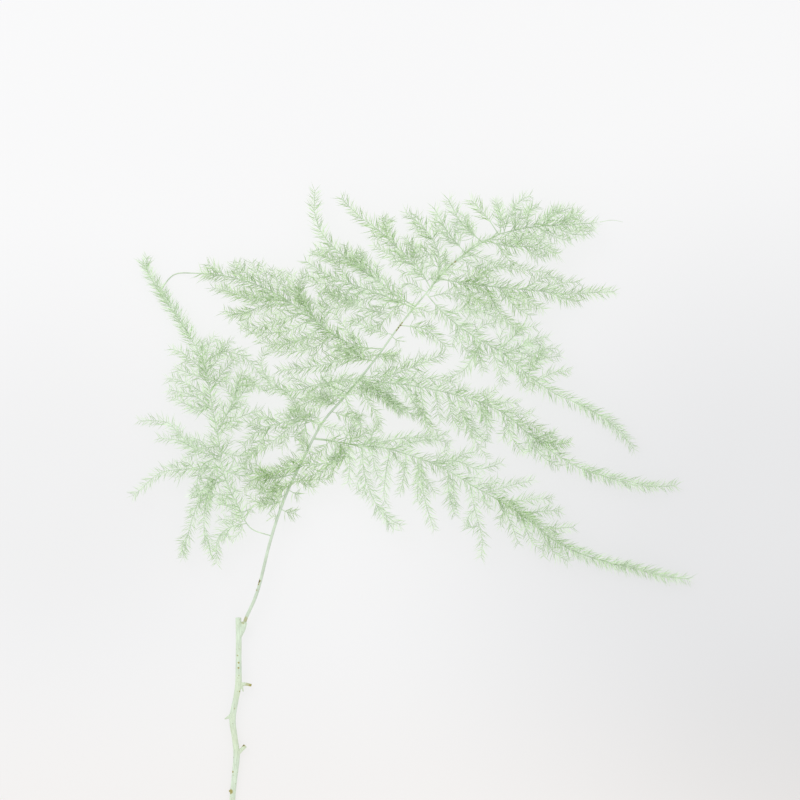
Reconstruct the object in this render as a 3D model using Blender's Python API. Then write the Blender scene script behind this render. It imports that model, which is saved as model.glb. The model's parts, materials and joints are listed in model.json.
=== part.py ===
"""A cut spray of asparagus fern: a lacy side frond on a length of its old stem, lying on a table.

Routes are in millimetres, in plan, with x to the right and y up the frond. Each solid is then moved so
that the middle of the spray is at the origin, and its millimetres become metres.
"""

import math
import random
from collections import namedtuple

import bmesh
import bpy
from mathutils import Vector

MM = 0.001
SEED = 11
MIDDLE = Vector((206.0, 137.0, 0.0))

# Old stem
STEM_RADIUS = 1.45
STEM_SIDES = 8
NODE_SWELLING = 0.2
COLLAR_RADIUS = 1.15
JOINT_GAP = 0.3

# Frond
RACHIS_ROOT_RADIUS = 1.0
RACHIS_TIP_RADIUS = 0.6
RACHIS_SIDES = 6
SPRAY_RADIUS = 0.62
BRANCHLET_RADIUS = 0.55
BRANCHLET_SIDES = 3
SPRAY_SEGMENT = 12.0
BRANCHLET_SEGMENT = 10.5
LOWEST_BRANCHLET = 1.0
TIP_HEIGHTS = (2.0, 19.0)
HEIGHT_SPREAD = 4.0
UPWARD_BOW = 1.5
THREAD_RADII = (0.55, 0.4, 0.3)

# Needles
NEEDLE_LENGTH = 5.2
NEEDLE_ROOT_RADIUS = 0.26
TIP_NEEDLE_REACH = 0.9 * NEEDLE_LENGTH
NEEDLE_SPACING = 11.0
NEEDLE_LEAN = math.radians(44)
NEEDLE_TURN = math.radians(137.5)
NEEDLE_FLATTENING = 0.75
NEEDLE_FLOOR = 0.35
BARE_ROOT = 4.0

STEM_LEVEL = STEM_RADIUS * math.cos(math.pi / STEM_SIDES)
REST_LEVEL = BRANCHLET_RADIUS * math.cos(math.pi / BRANCHLET_SIDES)
REST_LENGTH = 6.0

# The old stem, from its cut end to the pruned stub, as x, y and height
STEM_ROUTE = (
    (114.9, -30.0, STEM_LEVEL),
    (115.4, -12.0, STEM_LEVEL),
    (115.9, 0.0, 1.6),
    (116.9, 10.0, 2.0),
    (118.0, 21.5, 2.5),
    (117.2, 30.0, 2.9),
    (116.0, 40.0, 3.4),
    (117.7, 50.0, 3.9),
    (119.0, 58.0, 4.2),
    (119.1, 70.0, 4.7),
    (119.2, 82.0, 5.2),
    (119.0, 91.0, 5.6),
)
STEM_NODES = (4, 6, 8)

# Thorn, spurs and bud on the old stem, each as (x, y, rise from the stem, radius)
STEM_GROWTHS = {
    "thorn": ((116.4, 42.6, 0.0, 1.35), (114.4, 41.2, 0.0, 0.9), (112.0, 40.0, -0.2, 0.3)),
    "lower spur": ((117.6, 21.2, 0.0, 0.8), (120.4, 24.4, 0.3, 0.95), (122.4, 26.6, 0.5, 1.1)),
    "upper spur": ((119.0, 57.2, 0.0, 1.1), (122.4, 57.6, 0.3, 0.85), (125.6, 57.0, 0.5, 0.65)),
    "nib": ((120.6, 57.2, 0.0, 0.6), (121.4, 53.8, -0.2, 0.3)),
    "bud": ((115.9, 3.2, 0.0, 0.9), (114.2, 4.0, 0.2, 0.45)),
}
COLLAR_ROUTE = ((119.3, 81.0, 5.2), (120.8, 84.8, 5.4), (122.2, 88.6, 5.7))

# The frond's midrib, from the collar to where it passes into the top right spray
RACHIS_ROUTE = (
    (123.4, 92.0, 6.0),
    (127.3, 100.5, 6.8),
    (130.3, 110.0, 7.7),
    (135.3, 130.0, 9.5),
    (142.0, 150.0, 11.3),
    (151.3, 170.0, 13.0),
    (161.2, 188.5, 14.6),
    (172.5, 201.8, 16.0),
    (187.2, 219.7, 17.3),
    (200.0, 237.3, 18.0),
    (212.0, 252.0, 18.0),
    (224.0, 266.0, 17.4),
    (236.0, 275.5, 16.4),
    (250.0, 283.0, 15.0),
)

# A spray is its own axis and its branchlets. Each branchlet is its points from root to tip. The first
# point of each is moved onto what it grows from.
Spray = namedtuple("Spray", "tip_height bare axis branchlets")

SPRAYS = {
    "low left": Spray(3.0, 0.1, (
        (135.5, 132), (131, 132), (127, 134), (123.5, 138.5), (120.5, 144.5), (116, 152), (113, 160),
        (110.5, 169), (108.8, 183), (106, 196), (104.5, 206), (101.5, 219), (94, 233), (86, 246),
        (79, 257), (74, 266), (70, 272),
    ), (
        ((123.5, 138.5), (117, 137), (112, 134.5), (108.5, 129), (108, 115)),
        ((113, 160), (106, 157), (102.5, 146), (102, 135), (103, 124)),
        ((112, 163), (102, 156), (97, 143), (93.5, 131), (91, 118)),
        ((111, 166), (104, 166), (92, 165.5), (80, 163.5), (71, 156), (64, 150)),
        ((109, 177), (99, 176), (91, 181.5), (83, 189), (66, 189.5)),
        ((109.5, 172), (100, 174), (90, 179.5), (76, 181.5)),
        ((111, 168), (105, 162), (103, 152), (105, 141)),
        ((110, 172), (101, 167), (98, 156), (98, 149)),
        ((115.5, 152.5), (106, 153), (99, 152)),
        ((120.5, 144.5), (115, 142)),
        ((121, 144), (129, 146.5)),
        ((116, 152), (118.5, 159)),
        ((106, 195), (97, 202), (81, 206)),
        ((105, 201), (92, 209), (80.5, 211.5)),
        ((103, 213), (92, 223), (82, 226.5)),
        ((103.5, 211), (90, 215), (86, 219)),
        ((104.5, 207), (103, 222), (108, 235)),
        ((101.5, 219), (101, 227), (100, 233)),
        ((109, 184), (115, 196), (119, 207), (122.5, 218)),
        ((109, 183), (119, 191), (134, 196)),
        ((113, 192), (121, 203), (127, 214)),
        ((105, 204), (112, 215), (119, 221)),
        ((111, 165), (121, 162), (128, 163)),
        ((110, 174), (121, 172), (127, 176)),
    )),
    "dark left": Spray(6.0, 0.05, (
        (148, 163), (141, 161), (134, 161), (126, 164), (118, 168),
    ), (
        ((145, 157.5), (136, 154), (128, 156), (122, 160)),
        ((142, 150), (136, 148), (127, 150), (123, 155)),
        ((139.5, 142), (135, 141.5), (134, 139)),
        ((140.5, 145.5), (145, 143.5), (151, 144)),
        ((146, 159), (155, 160), (168, 161)),
        ((144.5, 155), (150, 152), (152.5, 153)),
        ((143, 153), (132, 147.5), (128, 144)),
    )),
    "middle left": Spray(8.0, 0.1, (
        (161.5, 188), (154, 190.5), (146, 189.5), (138, 188), (130, 185), (124, 180.5), (119, 175),
    ), (
        ((150, 190), (141, 183), (132, 176), (121, 171)),
        ((153, 190), (152, 182), (149.5, 172)),
        ((135, 187), (129, 177), (120, 165)),
        ((140, 188.5), (132, 192), (124, 189)),
        ((157, 190), (148, 196), (143, 192.5)),
    )),
    "olive": Spray(12.0, 0.1, (
        (160, 179.5), (171, 178), (175, 172.5), (166, 169), (150, 167), (140, 164.5), (131, 161.5),
    ), (
        ((165, 179), (160, 174), (152, 172)),
        ((158, 168.5), (148, 170.5), (138, 168)),
    )),
    "low band": Spray(13.0, 0.05, (
        (174, 203.5), (166, 207.5), (157, 207.5), (147, 204.5), (138, 206.5), (131, 204.5),
    ), (
        ((173, 202.5), (163, 201.5), (152, 198), (143, 192.5)),
        ((155, 207), (147, 211), (139, 210)),
        ((168, 198), (160, 201), (150, 203)),
    )),
    "high band": Spray(14.0, 0.05, (
        (187, 219.5), (176, 221), (166, 218.5), (156, 216.5), (145, 215.5), (136, 214.5),
    ), (
        ((182, 220.5), (172, 226), (160, 226)),
        ((150, 216), (147, 218), (146, 220)),
        ((190, 223), (195, 222), (200.5, 221)),
    )),
    "top left": Spray(REST_LEVEL, 0.05, (
        (191.5, 225.5), (183, 226), (175, 228), (166, 233), (158, 239), (149, 246), (140, 252),
        (131, 256.5), (121, 260), (110, 262.5), (98, 263.5), (89, 264), (84, 262.5), (81, 259),
        (80, 254),
    ), (
        ((140, 252), (125, 251), (113, 254.5), (103, 257)),
        ((146, 248), (132, 247.5), (122, 243), (109, 245)),
        ((152, 244), (138, 239.5), (127, 236), (118.5, 238.5)),
        ((156, 240.5), (144, 234.5), (132, 233.5), (120, 233.5)),
        ((161, 236.5), (150, 230), (138, 227.5), (126, 231.5)),
        ((166, 233), (158, 226.5), (145, 224), (134, 225)),
        ((122, 259.5), (118, 265), (114.5, 271)),
        ((131, 256.5), (128, 264), (124.5, 271.5)),
        ((140, 252), (138, 261), (134.5, 269)),
        ((150, 245.5), (147, 256), (145, 267)),
        ((112, 262), (107, 266), (101, 269.5)),
        ((144, 249), (130, 252), (119, 256)),
        ((158, 239), (152, 250), (141, 259)),
    )),
    "upper left": Spray(7.0, 0.05, (
        (206.5, 246), (197, 250), (187, 254), (177, 257.5), (167, 261), (158, 266), (150, 271.5),
    ), (
        ((190, 253), (180, 250), (168, 250)),
        ((183, 255.5), (172, 251), (160, 255)),
        ((196, 250.5), (184, 242), (172, 239)),
        ((200, 249), (190, 238), (180, 234)),
        ((176, 258), (168, 268), (156, 276)),
    )),
    "first plume": Spray(9.0, 0.05, (
        (207, 247), (197, 253), (189, 259), (181, 265), (174, 270), (167, 276.5), (160.5, 284),
        (157.5, 293), (157, 302), (158.5, 308),
    ), (
        ((168, 275.5), (161, 275), (155, 276)),
        ((183, 263), (176, 273), (171, 280)),
        ((191, 257.5), (184, 268), (178, 277)),
    )),
    "second plume": Spray(11.0, 0.05, (
        (215, 256), (210, 265), (203, 272), (196, 278), (189, 285), (182, 289.5), (176, 296),
        (168, 303),
    ), (
        ((198, 276), (194, 285), (190, 294)),
        ((193, 281), (193, 288), (197, 293)),
        ((205, 270), (194, 273), (184, 279)),
    )),
    "third plume": Spray(12.0, 0.05, (
        (219, 261), (220, 268), (218, 277), (213.5, 284), (208, 290), (200, 295.5),
    ), (
        ((219, 272), (210, 274), (203, 281)),
        ((216, 280), (218, 286), (215, 292)),
    )),
    "fourth plume": Spray(12.0, 0.05, (
        (232, 274), (226, 281), (221, 288), (218, 294), (215.5, 299),
    ), ()),
    "fifth plume": Spray(14.0, 0.05, (
        (241, 279), (235, 284), (229, 290), (225, 297), (223.5, 303.5),
    ), (
        ((232, 286.5), (236, 286), (238, 283)),
    )),
    "sixth plume": Spray(16.0, 0.3, (
        (249, 283), (245, 289), (240, 295), (233, 302),
    ), ()),
    "top right": Spray(8.0, 0.0, (
        (250, 283), (257, 285), (265, 286), (273, 287), (281, 287.5), (290, 288), (301.5, 289),
    ), (
        ((252, 284), (250, 293), (247.5, 302)),
        ((257, 285), (257.5, 293), (256.5, 300.5)),
        ((263, 286), (264, 293), (268, 300)),
        ((272, 287), (277, 293), (284, 297.5)),
        ((280, 287.5), (287, 292), (294, 292)),
        ((266, 286), (276, 294), (277, 299)),
        ((268, 286), (278, 281), (288, 279)),
        ((276, 287), (285, 283), (296, 282)),
    )),
    "right fifth": Spray(10.0, 0.05, (
        (243, 279), (250, 277), (258, 276.5), (266, 276.5), (274, 275), (282, 271.5),
    ), (
        ((255, 276.5), (265, 282), (276, 280)),
        ((248, 277.5), (254, 270), (259.5, 265)),
        ((262, 276.5), (269, 271.5), (276, 272)),
    )),
    "right fourth": Spray(REST_LEVEL, 0.05, (
        (219, 260.5), (228, 259), (238, 257.5), (248, 256.5), (258, 255.5), (270, 254.5),
        (283, 253), (297, 254), (311, 254.5),
    ), (
        ((236, 258), (246, 266), (260, 265), (278, 263)),
        ((258, 255.5), (265, 249), (275, 244)),
        ((250, 256), (257, 247), (268, 240.5)),
        ((243, 257), (250, 243), (264, 233)),
        ((270, 254.5), (280, 258.5), (293, 259)),
        ((262, 255), (272, 261), (284, 260.5)),
        ((230, 258.5), (238, 250), (246, 242)),
        ((226, 259.5), (232, 249), (240, 238)),
        ((275, 254), (284, 250), (293, 249)),
    )),
    "right third": Spray(4.0, 0.05, (
        (213, 253), (220, 245), (228, 238), (236, 232), (245, 227.5), (253, 222), (260, 216),
        (268, 209.5), (276, 204), (286, 199.5), (296, 195), (305, 188.5), (313, 181), (319.5, 172.5),
    ), (
        ((252, 223), (262, 227), (274, 231)),
        ((260, 216), (271, 220.5), (284, 222.5)),
        ((268, 209.5), (278, 214), (288.5, 214.5)),
        ((245, 227.5), (250, 214), (252.5, 205)),
        ((236, 232), (240, 220), (243, 211)),
        ((262, 214.5), (265, 207), (264, 202)),
        ((228, 238), (232, 226), (243, 219)),
        ((241, 230), (232, 215), (219.5, 210)),
        ((249, 225), (258, 233), (262, 240)),
        ((264, 213), (272, 225), (270, 229)),
    )),
    "short right": Spray(14.0, 0.05, (
        (200, 237.3), (206, 236.5), (214, 234.5), (219, 229), (226, 225),
    ), (
        ((196, 231.5), (199, 229.5), (203, 228.5)),
    )),
    "middle plume": Spray(13.0, 0.1, (
        (181, 211.5), (191, 211.5), (200, 214), (209, 217.5), (217, 220.5), (225, 225),
    ), ()),
    "right second": Spray(3.0, 0.05, (
        (180.5, 211), (190, 209), (200, 208), (210, 206.5), (220, 204.5), (230, 202), (240, 199),
        (250, 194.5), (258, 188.5), (266, 181.5), (275, 175), (285, 168.5), (295, 164), (305, 161),
        (316, 159), (327, 156.5), (342, 157.5),
    ), (
        ((182, 210.5), (190, 202), (200, 196), (210, 191)),
        ((240, 199), (250, 199), (262, 198)),
        ((250, 194.5), (260, 193), (269, 193.5)),
        ((264, 183), (274, 181), (279.5, 187)),
        ((270, 178.5), (279, 178), (287, 179)),
        ((262, 185), (271, 172), (282, 165)),
        ((253, 192.5), (256, 181), (264, 171)),
        ((210, 206.5), (212, 194), (215, 181)),
        ((228, 202.5), (233, 190), (245, 177)),
        ((224, 203.5), (226, 192), (232, 182)),
        ((236, 200.5), (244, 190), (247, 183)),
    )),
    "right first": Spray(3.0, 0.1, (
        (157.5, 180), (165, 179.5), (173, 178.5), (181, 177), (190, 176.5), (199, 174), (208, 171.5),
        (217, 168), (226, 163.5), (233, 159), (241, 154.5), (250, 149.5), (260, 143), (270, 135.5),
        (279, 128.5), (289, 123.5), (300, 120), (311, 117), (323, 114), (335, 111), (348.5, 110),
    ), (
        ((178, 177.5), (190, 179), (202, 181), (214, 181.5), (227, 183.5)),
        ((216, 168.5), (228, 169.5), (240, 165.5), (254, 170)),
        ((222, 166), (232, 173), (241, 174)),
        ((174, 178), (175, 168), (173.5, 155)),
        ((181, 177), (182.5, 162), (189, 146), (199, 132.5)),
        ((183, 160), (181, 153), (178.5, 150)),
        ((195, 175), (193, 164), (192, 153), (193.5, 145)),
        ((188, 148), (196, 140), (204, 136)),
        ((209, 171), (209, 160), (208.5, 146)),
        ((210, 170), (212, 152), (218, 132)),
        ((224, 165), (224.5, 153), (228.5, 139)),
        ((235, 158), (237.5, 145), (241, 130), (240, 118)),
        ((239, 137), (235, 136.5), (229.5, 139.5)),
        ((250, 149.5), (256, 137), (260, 125)),
        ((260, 143), (265, 131), (270, 124)),
        ((270, 135.5), (277, 124), (287, 117.5)),
        ((243, 153.5), (254, 157), (270, 161)),
        ((252, 148), (265, 150.5), (279, 150.5)),
        ((261, 142), (272, 144.5), (284, 144)),
        ((270, 135.5), (280, 136), (290, 136.5)),
        ((172, 178.5), (176, 187), (183, 196)),
        ((185, 177), (187, 186), (190, 193)),
        ((256, 146), (268, 139), (281, 130)),
    )),
}

# The two tips that carry the frond on the table, besides the cut end of the stem
RESTING = ("top left", "right fourth")

# A bare thread goes on past the needles of the top right spray
THREAD_ROUTE = ((300.0, 289.0, 8.2), (306.0, 290.0, 8.6), (311.5, 289.0, 9.0))


def remove_everything():
    for old in list(bpy.data.objects):
        bpy.data.objects.remove(old)


def material(name, colour, roughness):
    made = bpy.data.materials.new(name)
    made.use_nodes = True
    shader = made.node_tree.nodes["Principled BSDF"]
    shader.inputs["Base Color"].default_value = (*colour, 1.0)
    shader.inputs["Roughness"].default_value = roughness
    shader.inputs["Metallic"].default_value = 0.0
    return made


def smooth_curve(points, spacing, held_back=0.0):
    """Evenly spaced points on a smooth curve through the given ones, ending a little before the last."""
    steps = 8
    ends = [points[0] * 2 - points[1], *points, points[-1] * 2 - points[-2]]
    fine = []
    for before, start, end, after in zip(ends, ends[1:], ends[2:], ends[3:]):
        for step in range(steps):
            t = step / steps
            linear = (end - before) * t
            square = (before * 2 - start * 5 + end * 4 - after) * t ** 2
            cube = (start * 3 - before - end * 3 + after) * t ** 3
            fine.append(start + (linear + square + cube) / 2)
    fine.append(points[-1])
    run = [0.0]
    for first, second in zip(fine, fine[1:]):
        run.append(run[-1] + (second - first).length)
    reach = run[-1] - held_back
    count = max(2, round(reach / spacing))
    even = []
    index = 0
    for number in range(count + 1):
        distance = reach * number / count
        while index < len(run) - 2 and run[index + 1] < distance:
            index += 1
        share = (distance - run[index]) / (run[index + 1] - run[index])
        even.append(fine[index].lerp(fine[index + 1], min(share, 1.0)))
    return even


def direction(path, index):
    before = path[max(index - 1, 0)]
    after = path[min(index + 1, len(path) - 1)]
    return (after - before).normalized()


def frame_along(tangent):
    """The level sideways direction and the upward one across a tangent."""
    side = Vector((tangent.y, -tangent.x, 0.0)).normalized()
    return side, side.cross(tangent).normalized()


def solid(name, points, faces):
    mesh = bpy.data.meshes.new(name)
    mesh.from_pydata([(point - MIDDLE) * MM for point in points], [], faces)
    mesh.validate()
    shape = bmesh.new()
    shape.from_mesh(mesh)
    bmesh.ops.recalc_face_normals(shape, faces=shape.faces)
    shape.to_mesh(mesh)
    shape.free()
    return bpy.data.objects.new(name, mesh)


def tube(name, path, radii, sides):
    """A closed tube with one flat side turned down to the table."""
    points = []
    for index, (centre, radius) in enumerate(zip(path, radii)):
        side, up = frame_along(direction(path, index))
        for corner in range(sides):
            angle = -math.pi / 2 + math.pi * (2 * corner + 1) / sides
            points.append(centre + (side * math.cos(angle) + up * math.sin(angle)) * radius)
    faces = [tuple(range(sides))]
    for ring in range(len(path) - 1):
        for corner in range(sides):
            following = (corner + 1) % sides
            low = ring * sides
            high = low + sides
            faces.append((low + corner, low + following, high + following, high + corner))
    last = (len(path) - 1) * sides
    faces.append(tuple(range(last, last + sides)))
    return solid(name, points, faces)


def needle(name, root, along, length):
    """A three-sided point with its root in the middle of the branchlet."""
    side, up = frame_along(along)
    points = []
    for corner in range(3):
        angle = math.pi / 2 + corner * math.tau / 3
        points.append(root + (side * math.cos(angle) + up * math.sin(angle)) * NEEDLE_ROOT_RADIUS)
    points.append(root + along * length)
    return solid(name, points, [(0, 1, 2), (0, 1, 3), (1, 2, 3), (2, 0, 3)])


def fuse(name, parts, solver):
    """One closed body from overlapping solids, named after the first one's node."""
    body = parts[0]
    body.name = name
    bpy.context.scene.collection.objects.link(body)
    others = bpy.data.collections.new(name + " parts")
    bpy.context.scene.collection.children.link(others)
    for part in parts[1:]:
        others.objects.link(part)
    union = body.modifiers.new("union", "BOOLEAN")
    union.operation = "UNION"
    union.operand_type = "COLLECTION"
    union.collection = others
    union.solver = solver
    fused = bpy.data.meshes.new_from_object(body.evaluated_get(bpy.context.evaluated_depsgraph_get()))
    body.modifiers.clear()
    body.data = fused
    for part in list(others.objects):
        bpy.data.objects.remove(part)
    bpy.data.collections.remove(others)
    keep_largest_shell(fused)
    return body


def keep_largest_shell(mesh):
    """Drop loose scraps and the walls of sealed hollows."""
    shape = bmesh.new()
    shape.from_mesh(mesh)
    waiting = set(shape.verts)
    shells = []
    while waiting:
        shell = {waiting.pop()}
        front = list(shell)
        while front:
            for edge in front.pop().link_edges:
                for vertex in edge.verts:
                    if vertex not in shell:
                        shell.add(vertex)
                        front.append(vertex)
        waiting -= shell
        shells.append(shell)
    shells.sort(key=len)
    for shell in shells[:-1]:
        bmesh.ops.delete(shape, geom=list(shell), context="VERTS")
    shape.to_mesh(mesh)
    shape.free()


def finish(made, made_of):
    made.data.materials.clear()
    made.data.materials.append(made_of)
    made.data.shade_smooth()
    made.data.set_sharp_from_angle(angle=math.radians(40))


def build_main_stem():
    route = [Vector(point) for point in STEM_ROUTE]
    radii = [STEM_RADIUS] * len(route)
    for node in STEM_NODES:
        radii[node] += NODE_SWELLING
    parts = [tube("stem", route, radii, STEM_SIDES)]
    for name, points in STEM_GROWTHS.items():
        foot = min(route, key=lambda point: abs(point.y - points[0][1]))
        path = [Vector((x, y, foot.z + rise)) for x, y, rise, _ in points]
        parts.append(tube(name, path, [point[3] for point in points], RACHIS_SIDES))
    collar = [Vector(point) for point in COLLAR_ROUTE]
    parts.append(tube("collar", collar, [COLLAR_RADIUS] * len(collar), RACHIS_SIDES))
    return fuse("main_stem", parts, "EXACT")


def nearest(paths, point):
    """The point and direction of the path that passes closest in plan."""
    best = None
    for path in paths:
        for index, (start, end) in enumerate(zip(path, path[1:])):
            run = (end - start).to_2d()
            share = (point - start.to_2d()).dot(run) / run.length_squared
            place = start.lerp(end, min(max(share, 0.0), 1.0))
            distance = (place.to_2d() - point).length
            if best is None or distance < best[0]:
                best = (distance, place, (end - start).normalized())
    return best[1], best[2]


def raised(plan, root_height, tip_height):
    """Give a route in plan its heights, with a slight bow upwards."""
    last = len(plan) - 1
    heights = []
    for number in range(last + 1):
        t = number / last
        heights.append(root_height + (tip_height - root_height) * t + UPWARD_BOW * math.sin(math.pi * t))
    return [Vector((x, y, max(z, LOWEST_BRANCHLET))) for (x, y), z in zip(plan, heights)]


def set_down(path):
    """Lay the last stretch of a path level on the table."""
    laid = 0.0
    path[-1].z = REST_LEVEL
    for index in range(len(path) - 2, -1, -1):
        laid += (path[index + 1] - path[index]).to_2d().length
        path[index].z = REST_LEVEL
        if laid >= REST_LENGTH:
            break


def needles_along(name, path, bare, turn, spacing):
    """Needles in a spiral round a branchlet and one at its tip."""
    ahead = direction(path, len(path) - 1)
    made = [needle(name + " tip", path[-1].lerp(path[-2], 0.1), ahead, NEEDLE_LENGTH)]
    distance = 0.0
    due = bare
    for start, end in zip(path, path[1:]):
        length = (end - start).length
        along = (end - start) / length
        side, up = frame_along(along)
        while due < distance + length:
            turn += NEEDLE_TURN
            root = start + along * (due - distance)
            out = side * math.cos(turn) + up * (math.sin(turn) * NEEDLE_FLATTENING)
            lean = along * math.cos(NEEDLE_LEAN) + out * math.sin(NEEDLE_LEAN)
            lowest = (NEEDLE_FLOOR - root.z) / NEEDLE_LENGTH
            lean.z = max(lean.z, min(lowest, 0.5))
            made.append(needle(name, root, lean.normalized(), NEEDLE_LENGTH))
            due += spacing
        distance += length
    return made


def build_leafy_frond():
    chance = random.Random(SEED)
    collar_end = Vector(COLLAR_ROUTE[-1])
    collar_way = (collar_end - Vector(COLLAR_ROUTE[-2])).normalized()
    start = collar_end + collar_way * JOINT_GAP
    rachis = smooth_curve([start] + [Vector(point) for point in RACHIS_ROUTE], SPRAY_SEGMENT)
    rachis.insert(1, start + collar_way * 2)
    last = len(rachis) - 1
    thinning = (RACHIS_TIP_RADIUS - RACHIS_ROOT_RADIUS) / last
    radii = [RACHIS_ROOT_RADIUS + thinning * index for index in range(last + 1)]
    parts = [tube("rachis", rachis, radii, RACHIS_SIDES)]
    needles = []
    for name, spray in SPRAYS.items():
        root, _ = nearest([rachis], Vector(spray.axis[0]))
        route = [root.to_2d()] + [Vector(point) for point in spray.axis[1:]]
        axis = raised(smooth_curve(route, SPRAY_SEGMENT, TIP_NEEDLE_REACH), root.z, spray.tip_height)
        if name in RESTING:
            set_down(axis)
        radii = [SPRAY_RADIUS] * (len(axis) - 2) + [BRANCHLET_RADIUS] * 2
        parts.append(tube(name, axis, radii, BRANCHLET_SIDES))
        turn = chance.uniform(0.0, math.tau)
        length = sum((b - a).length for a, b in zip(axis, axis[1:]))
        needles += needles_along(name, axis, max(BARE_ROOT, spray.bare * length), turn, NEEDLE_SPACING)
        family = [axis, rachis]
        for number, points in enumerate(spray.branchlets):
            root, _ = nearest(family, Vector(points[0]))
            route = [root.to_2d()] + [Vector(point) for point in points[1:]]
            height = root.z + chance.uniform(-HEIGHT_SPREAD, HEIGHT_SPREAD)
            height = min(max(height, TIP_HEIGHTS[0]), TIP_HEIGHTS[1])
            path = raised(smooth_curve(route, BRANCHLET_SEGMENT, TIP_NEEDLE_REACH), root.z, height)
            label = f"{name} {number}"
            parts.append(tube(label, path, [BRANCHLET_RADIUS] * len(path), BRANCHLET_SIDES))
            turn = chance.uniform(0.0, math.tau)
            needles += needles_along(label, path, BARE_ROOT, turn, NEEDLE_SPACING)
            family.append(path)
    thread = [Vector(point) for point in THREAD_ROUTE]
    parts.append(tube("thread", thread, THREAD_RADII, BRANCHLET_SIDES))
    return fuse("leafy_frond", parts + needles, "MANIFOLD")


def main():
    remove_everything()
    finish(build_main_stem(), material("pale stem", (0.66, 0.80, 0.62), 0.6))
    finish(build_leafy_frond(), material("mint needles", (0.45, 0.66, 0.38), 0.65))


main()
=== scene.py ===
import json
import math
import random
from collections import namedtuple

import bmesh
import bpy
import numpy as np
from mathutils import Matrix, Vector

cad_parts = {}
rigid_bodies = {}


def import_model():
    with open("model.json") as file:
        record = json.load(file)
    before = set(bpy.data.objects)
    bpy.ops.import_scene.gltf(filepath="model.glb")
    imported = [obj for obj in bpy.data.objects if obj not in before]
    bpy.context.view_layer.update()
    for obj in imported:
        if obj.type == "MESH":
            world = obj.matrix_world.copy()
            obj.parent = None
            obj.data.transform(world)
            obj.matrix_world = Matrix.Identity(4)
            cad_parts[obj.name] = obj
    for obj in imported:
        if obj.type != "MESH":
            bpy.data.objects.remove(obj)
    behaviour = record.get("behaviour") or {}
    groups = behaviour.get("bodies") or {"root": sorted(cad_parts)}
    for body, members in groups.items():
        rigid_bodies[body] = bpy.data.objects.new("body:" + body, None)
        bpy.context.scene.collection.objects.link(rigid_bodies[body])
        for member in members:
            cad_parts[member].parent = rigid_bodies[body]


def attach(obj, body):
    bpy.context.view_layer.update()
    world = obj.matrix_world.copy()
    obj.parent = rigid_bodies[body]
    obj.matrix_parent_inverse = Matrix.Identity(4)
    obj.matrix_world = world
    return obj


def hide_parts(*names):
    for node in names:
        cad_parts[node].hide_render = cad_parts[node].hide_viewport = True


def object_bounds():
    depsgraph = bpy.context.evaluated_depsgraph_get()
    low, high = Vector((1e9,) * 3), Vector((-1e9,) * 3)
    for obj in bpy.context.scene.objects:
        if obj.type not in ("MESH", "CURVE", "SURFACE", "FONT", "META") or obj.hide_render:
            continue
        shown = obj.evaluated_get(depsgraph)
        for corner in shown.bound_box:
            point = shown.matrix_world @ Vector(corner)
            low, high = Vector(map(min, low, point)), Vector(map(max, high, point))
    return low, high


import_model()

bl_info = {
    "name": "Asparagus fern spray",
    "version": (1, 0, 0),
    "blender": (4, 5, 0),
    "location": "3D Viewport > Sidebar > Fern",
    "description": "Grows a cut spray of asparagus fern on its old stem, with its stage",
    "category": "Add Mesh",
}

CAD_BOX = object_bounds()

# Routes are in millimetres, in plan, with x to the right and y up the frond. MIDDLE is the middle of
# the spray's box there, PHOTO_MIDDLE is the point under the camera, PHOTO_WIDTH is how much the camera takes
# in, and FROND_HEIGHT is the height in metres where that width is measured.
MM = 0.001
SEED = 11
MIDDLE = Vector((206.0, 137.0, 0.0))
PHOTO_MIDDLE = Vector((200.0, 200.0, 0.0))
PHOTO_WIDTH = 400.0
FROND_HEIGHT = 0.01

# Forms that the solids share. The scene's paths have FINER times as many points.
STEM_RADIUS = 1.45
STEM_SIDES = 8
NODE_SWELLING = 0.2
BRANCHLET_RADIUS = 0.55
BRANCHLET_SIDES = 3
SPRAY_SEGMENT = 12.0
BRANCHLET_SEGMENT = 10.5
FINER = 8
LOWEST_BRANCHLET = 1.0
TIP_HEIGHTS = (2.0, 19.0)
HEIGHT_SPREAD = 4.0
UPWARD_BOW = 1.5
SOLID_NEEDLE_LENGTH = 5.2
TIP_NEEDLE_REACH = 0.7 * SOLID_NEEDLE_LENGTH
STEM_LEVEL = STEM_RADIUS * math.cos(math.pi / STEM_SIDES)
REST_LEVEL = BRANCHLET_RADIUS * math.cos(math.pi / BRANCHLET_SIDES)
REST_LENGTH = 6.0

# The old stem, from its cut end to the pruned stub, as x, y and height
STEM_ROUTE = (
    (114.9, -30.0, STEM_LEVEL),
    (115.4, -12.0, STEM_LEVEL),
    (115.9, 0.0, 1.6),
    (116.9, 10.0, 2.0),
    (118.0, 21.5, 2.5),
    (117.2, 30.0, 2.9),
    (116.0, 40.0, 3.4),
    (117.7, 50.0, 3.9),
    (119.0, 58.0, 4.2),
    (119.1, 70.0, 4.7),
    (119.2, 82.0, 5.2),
    (119.0, 91.0, 5.6),
)
STEM_NODES = (4, 6, 8)

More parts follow.
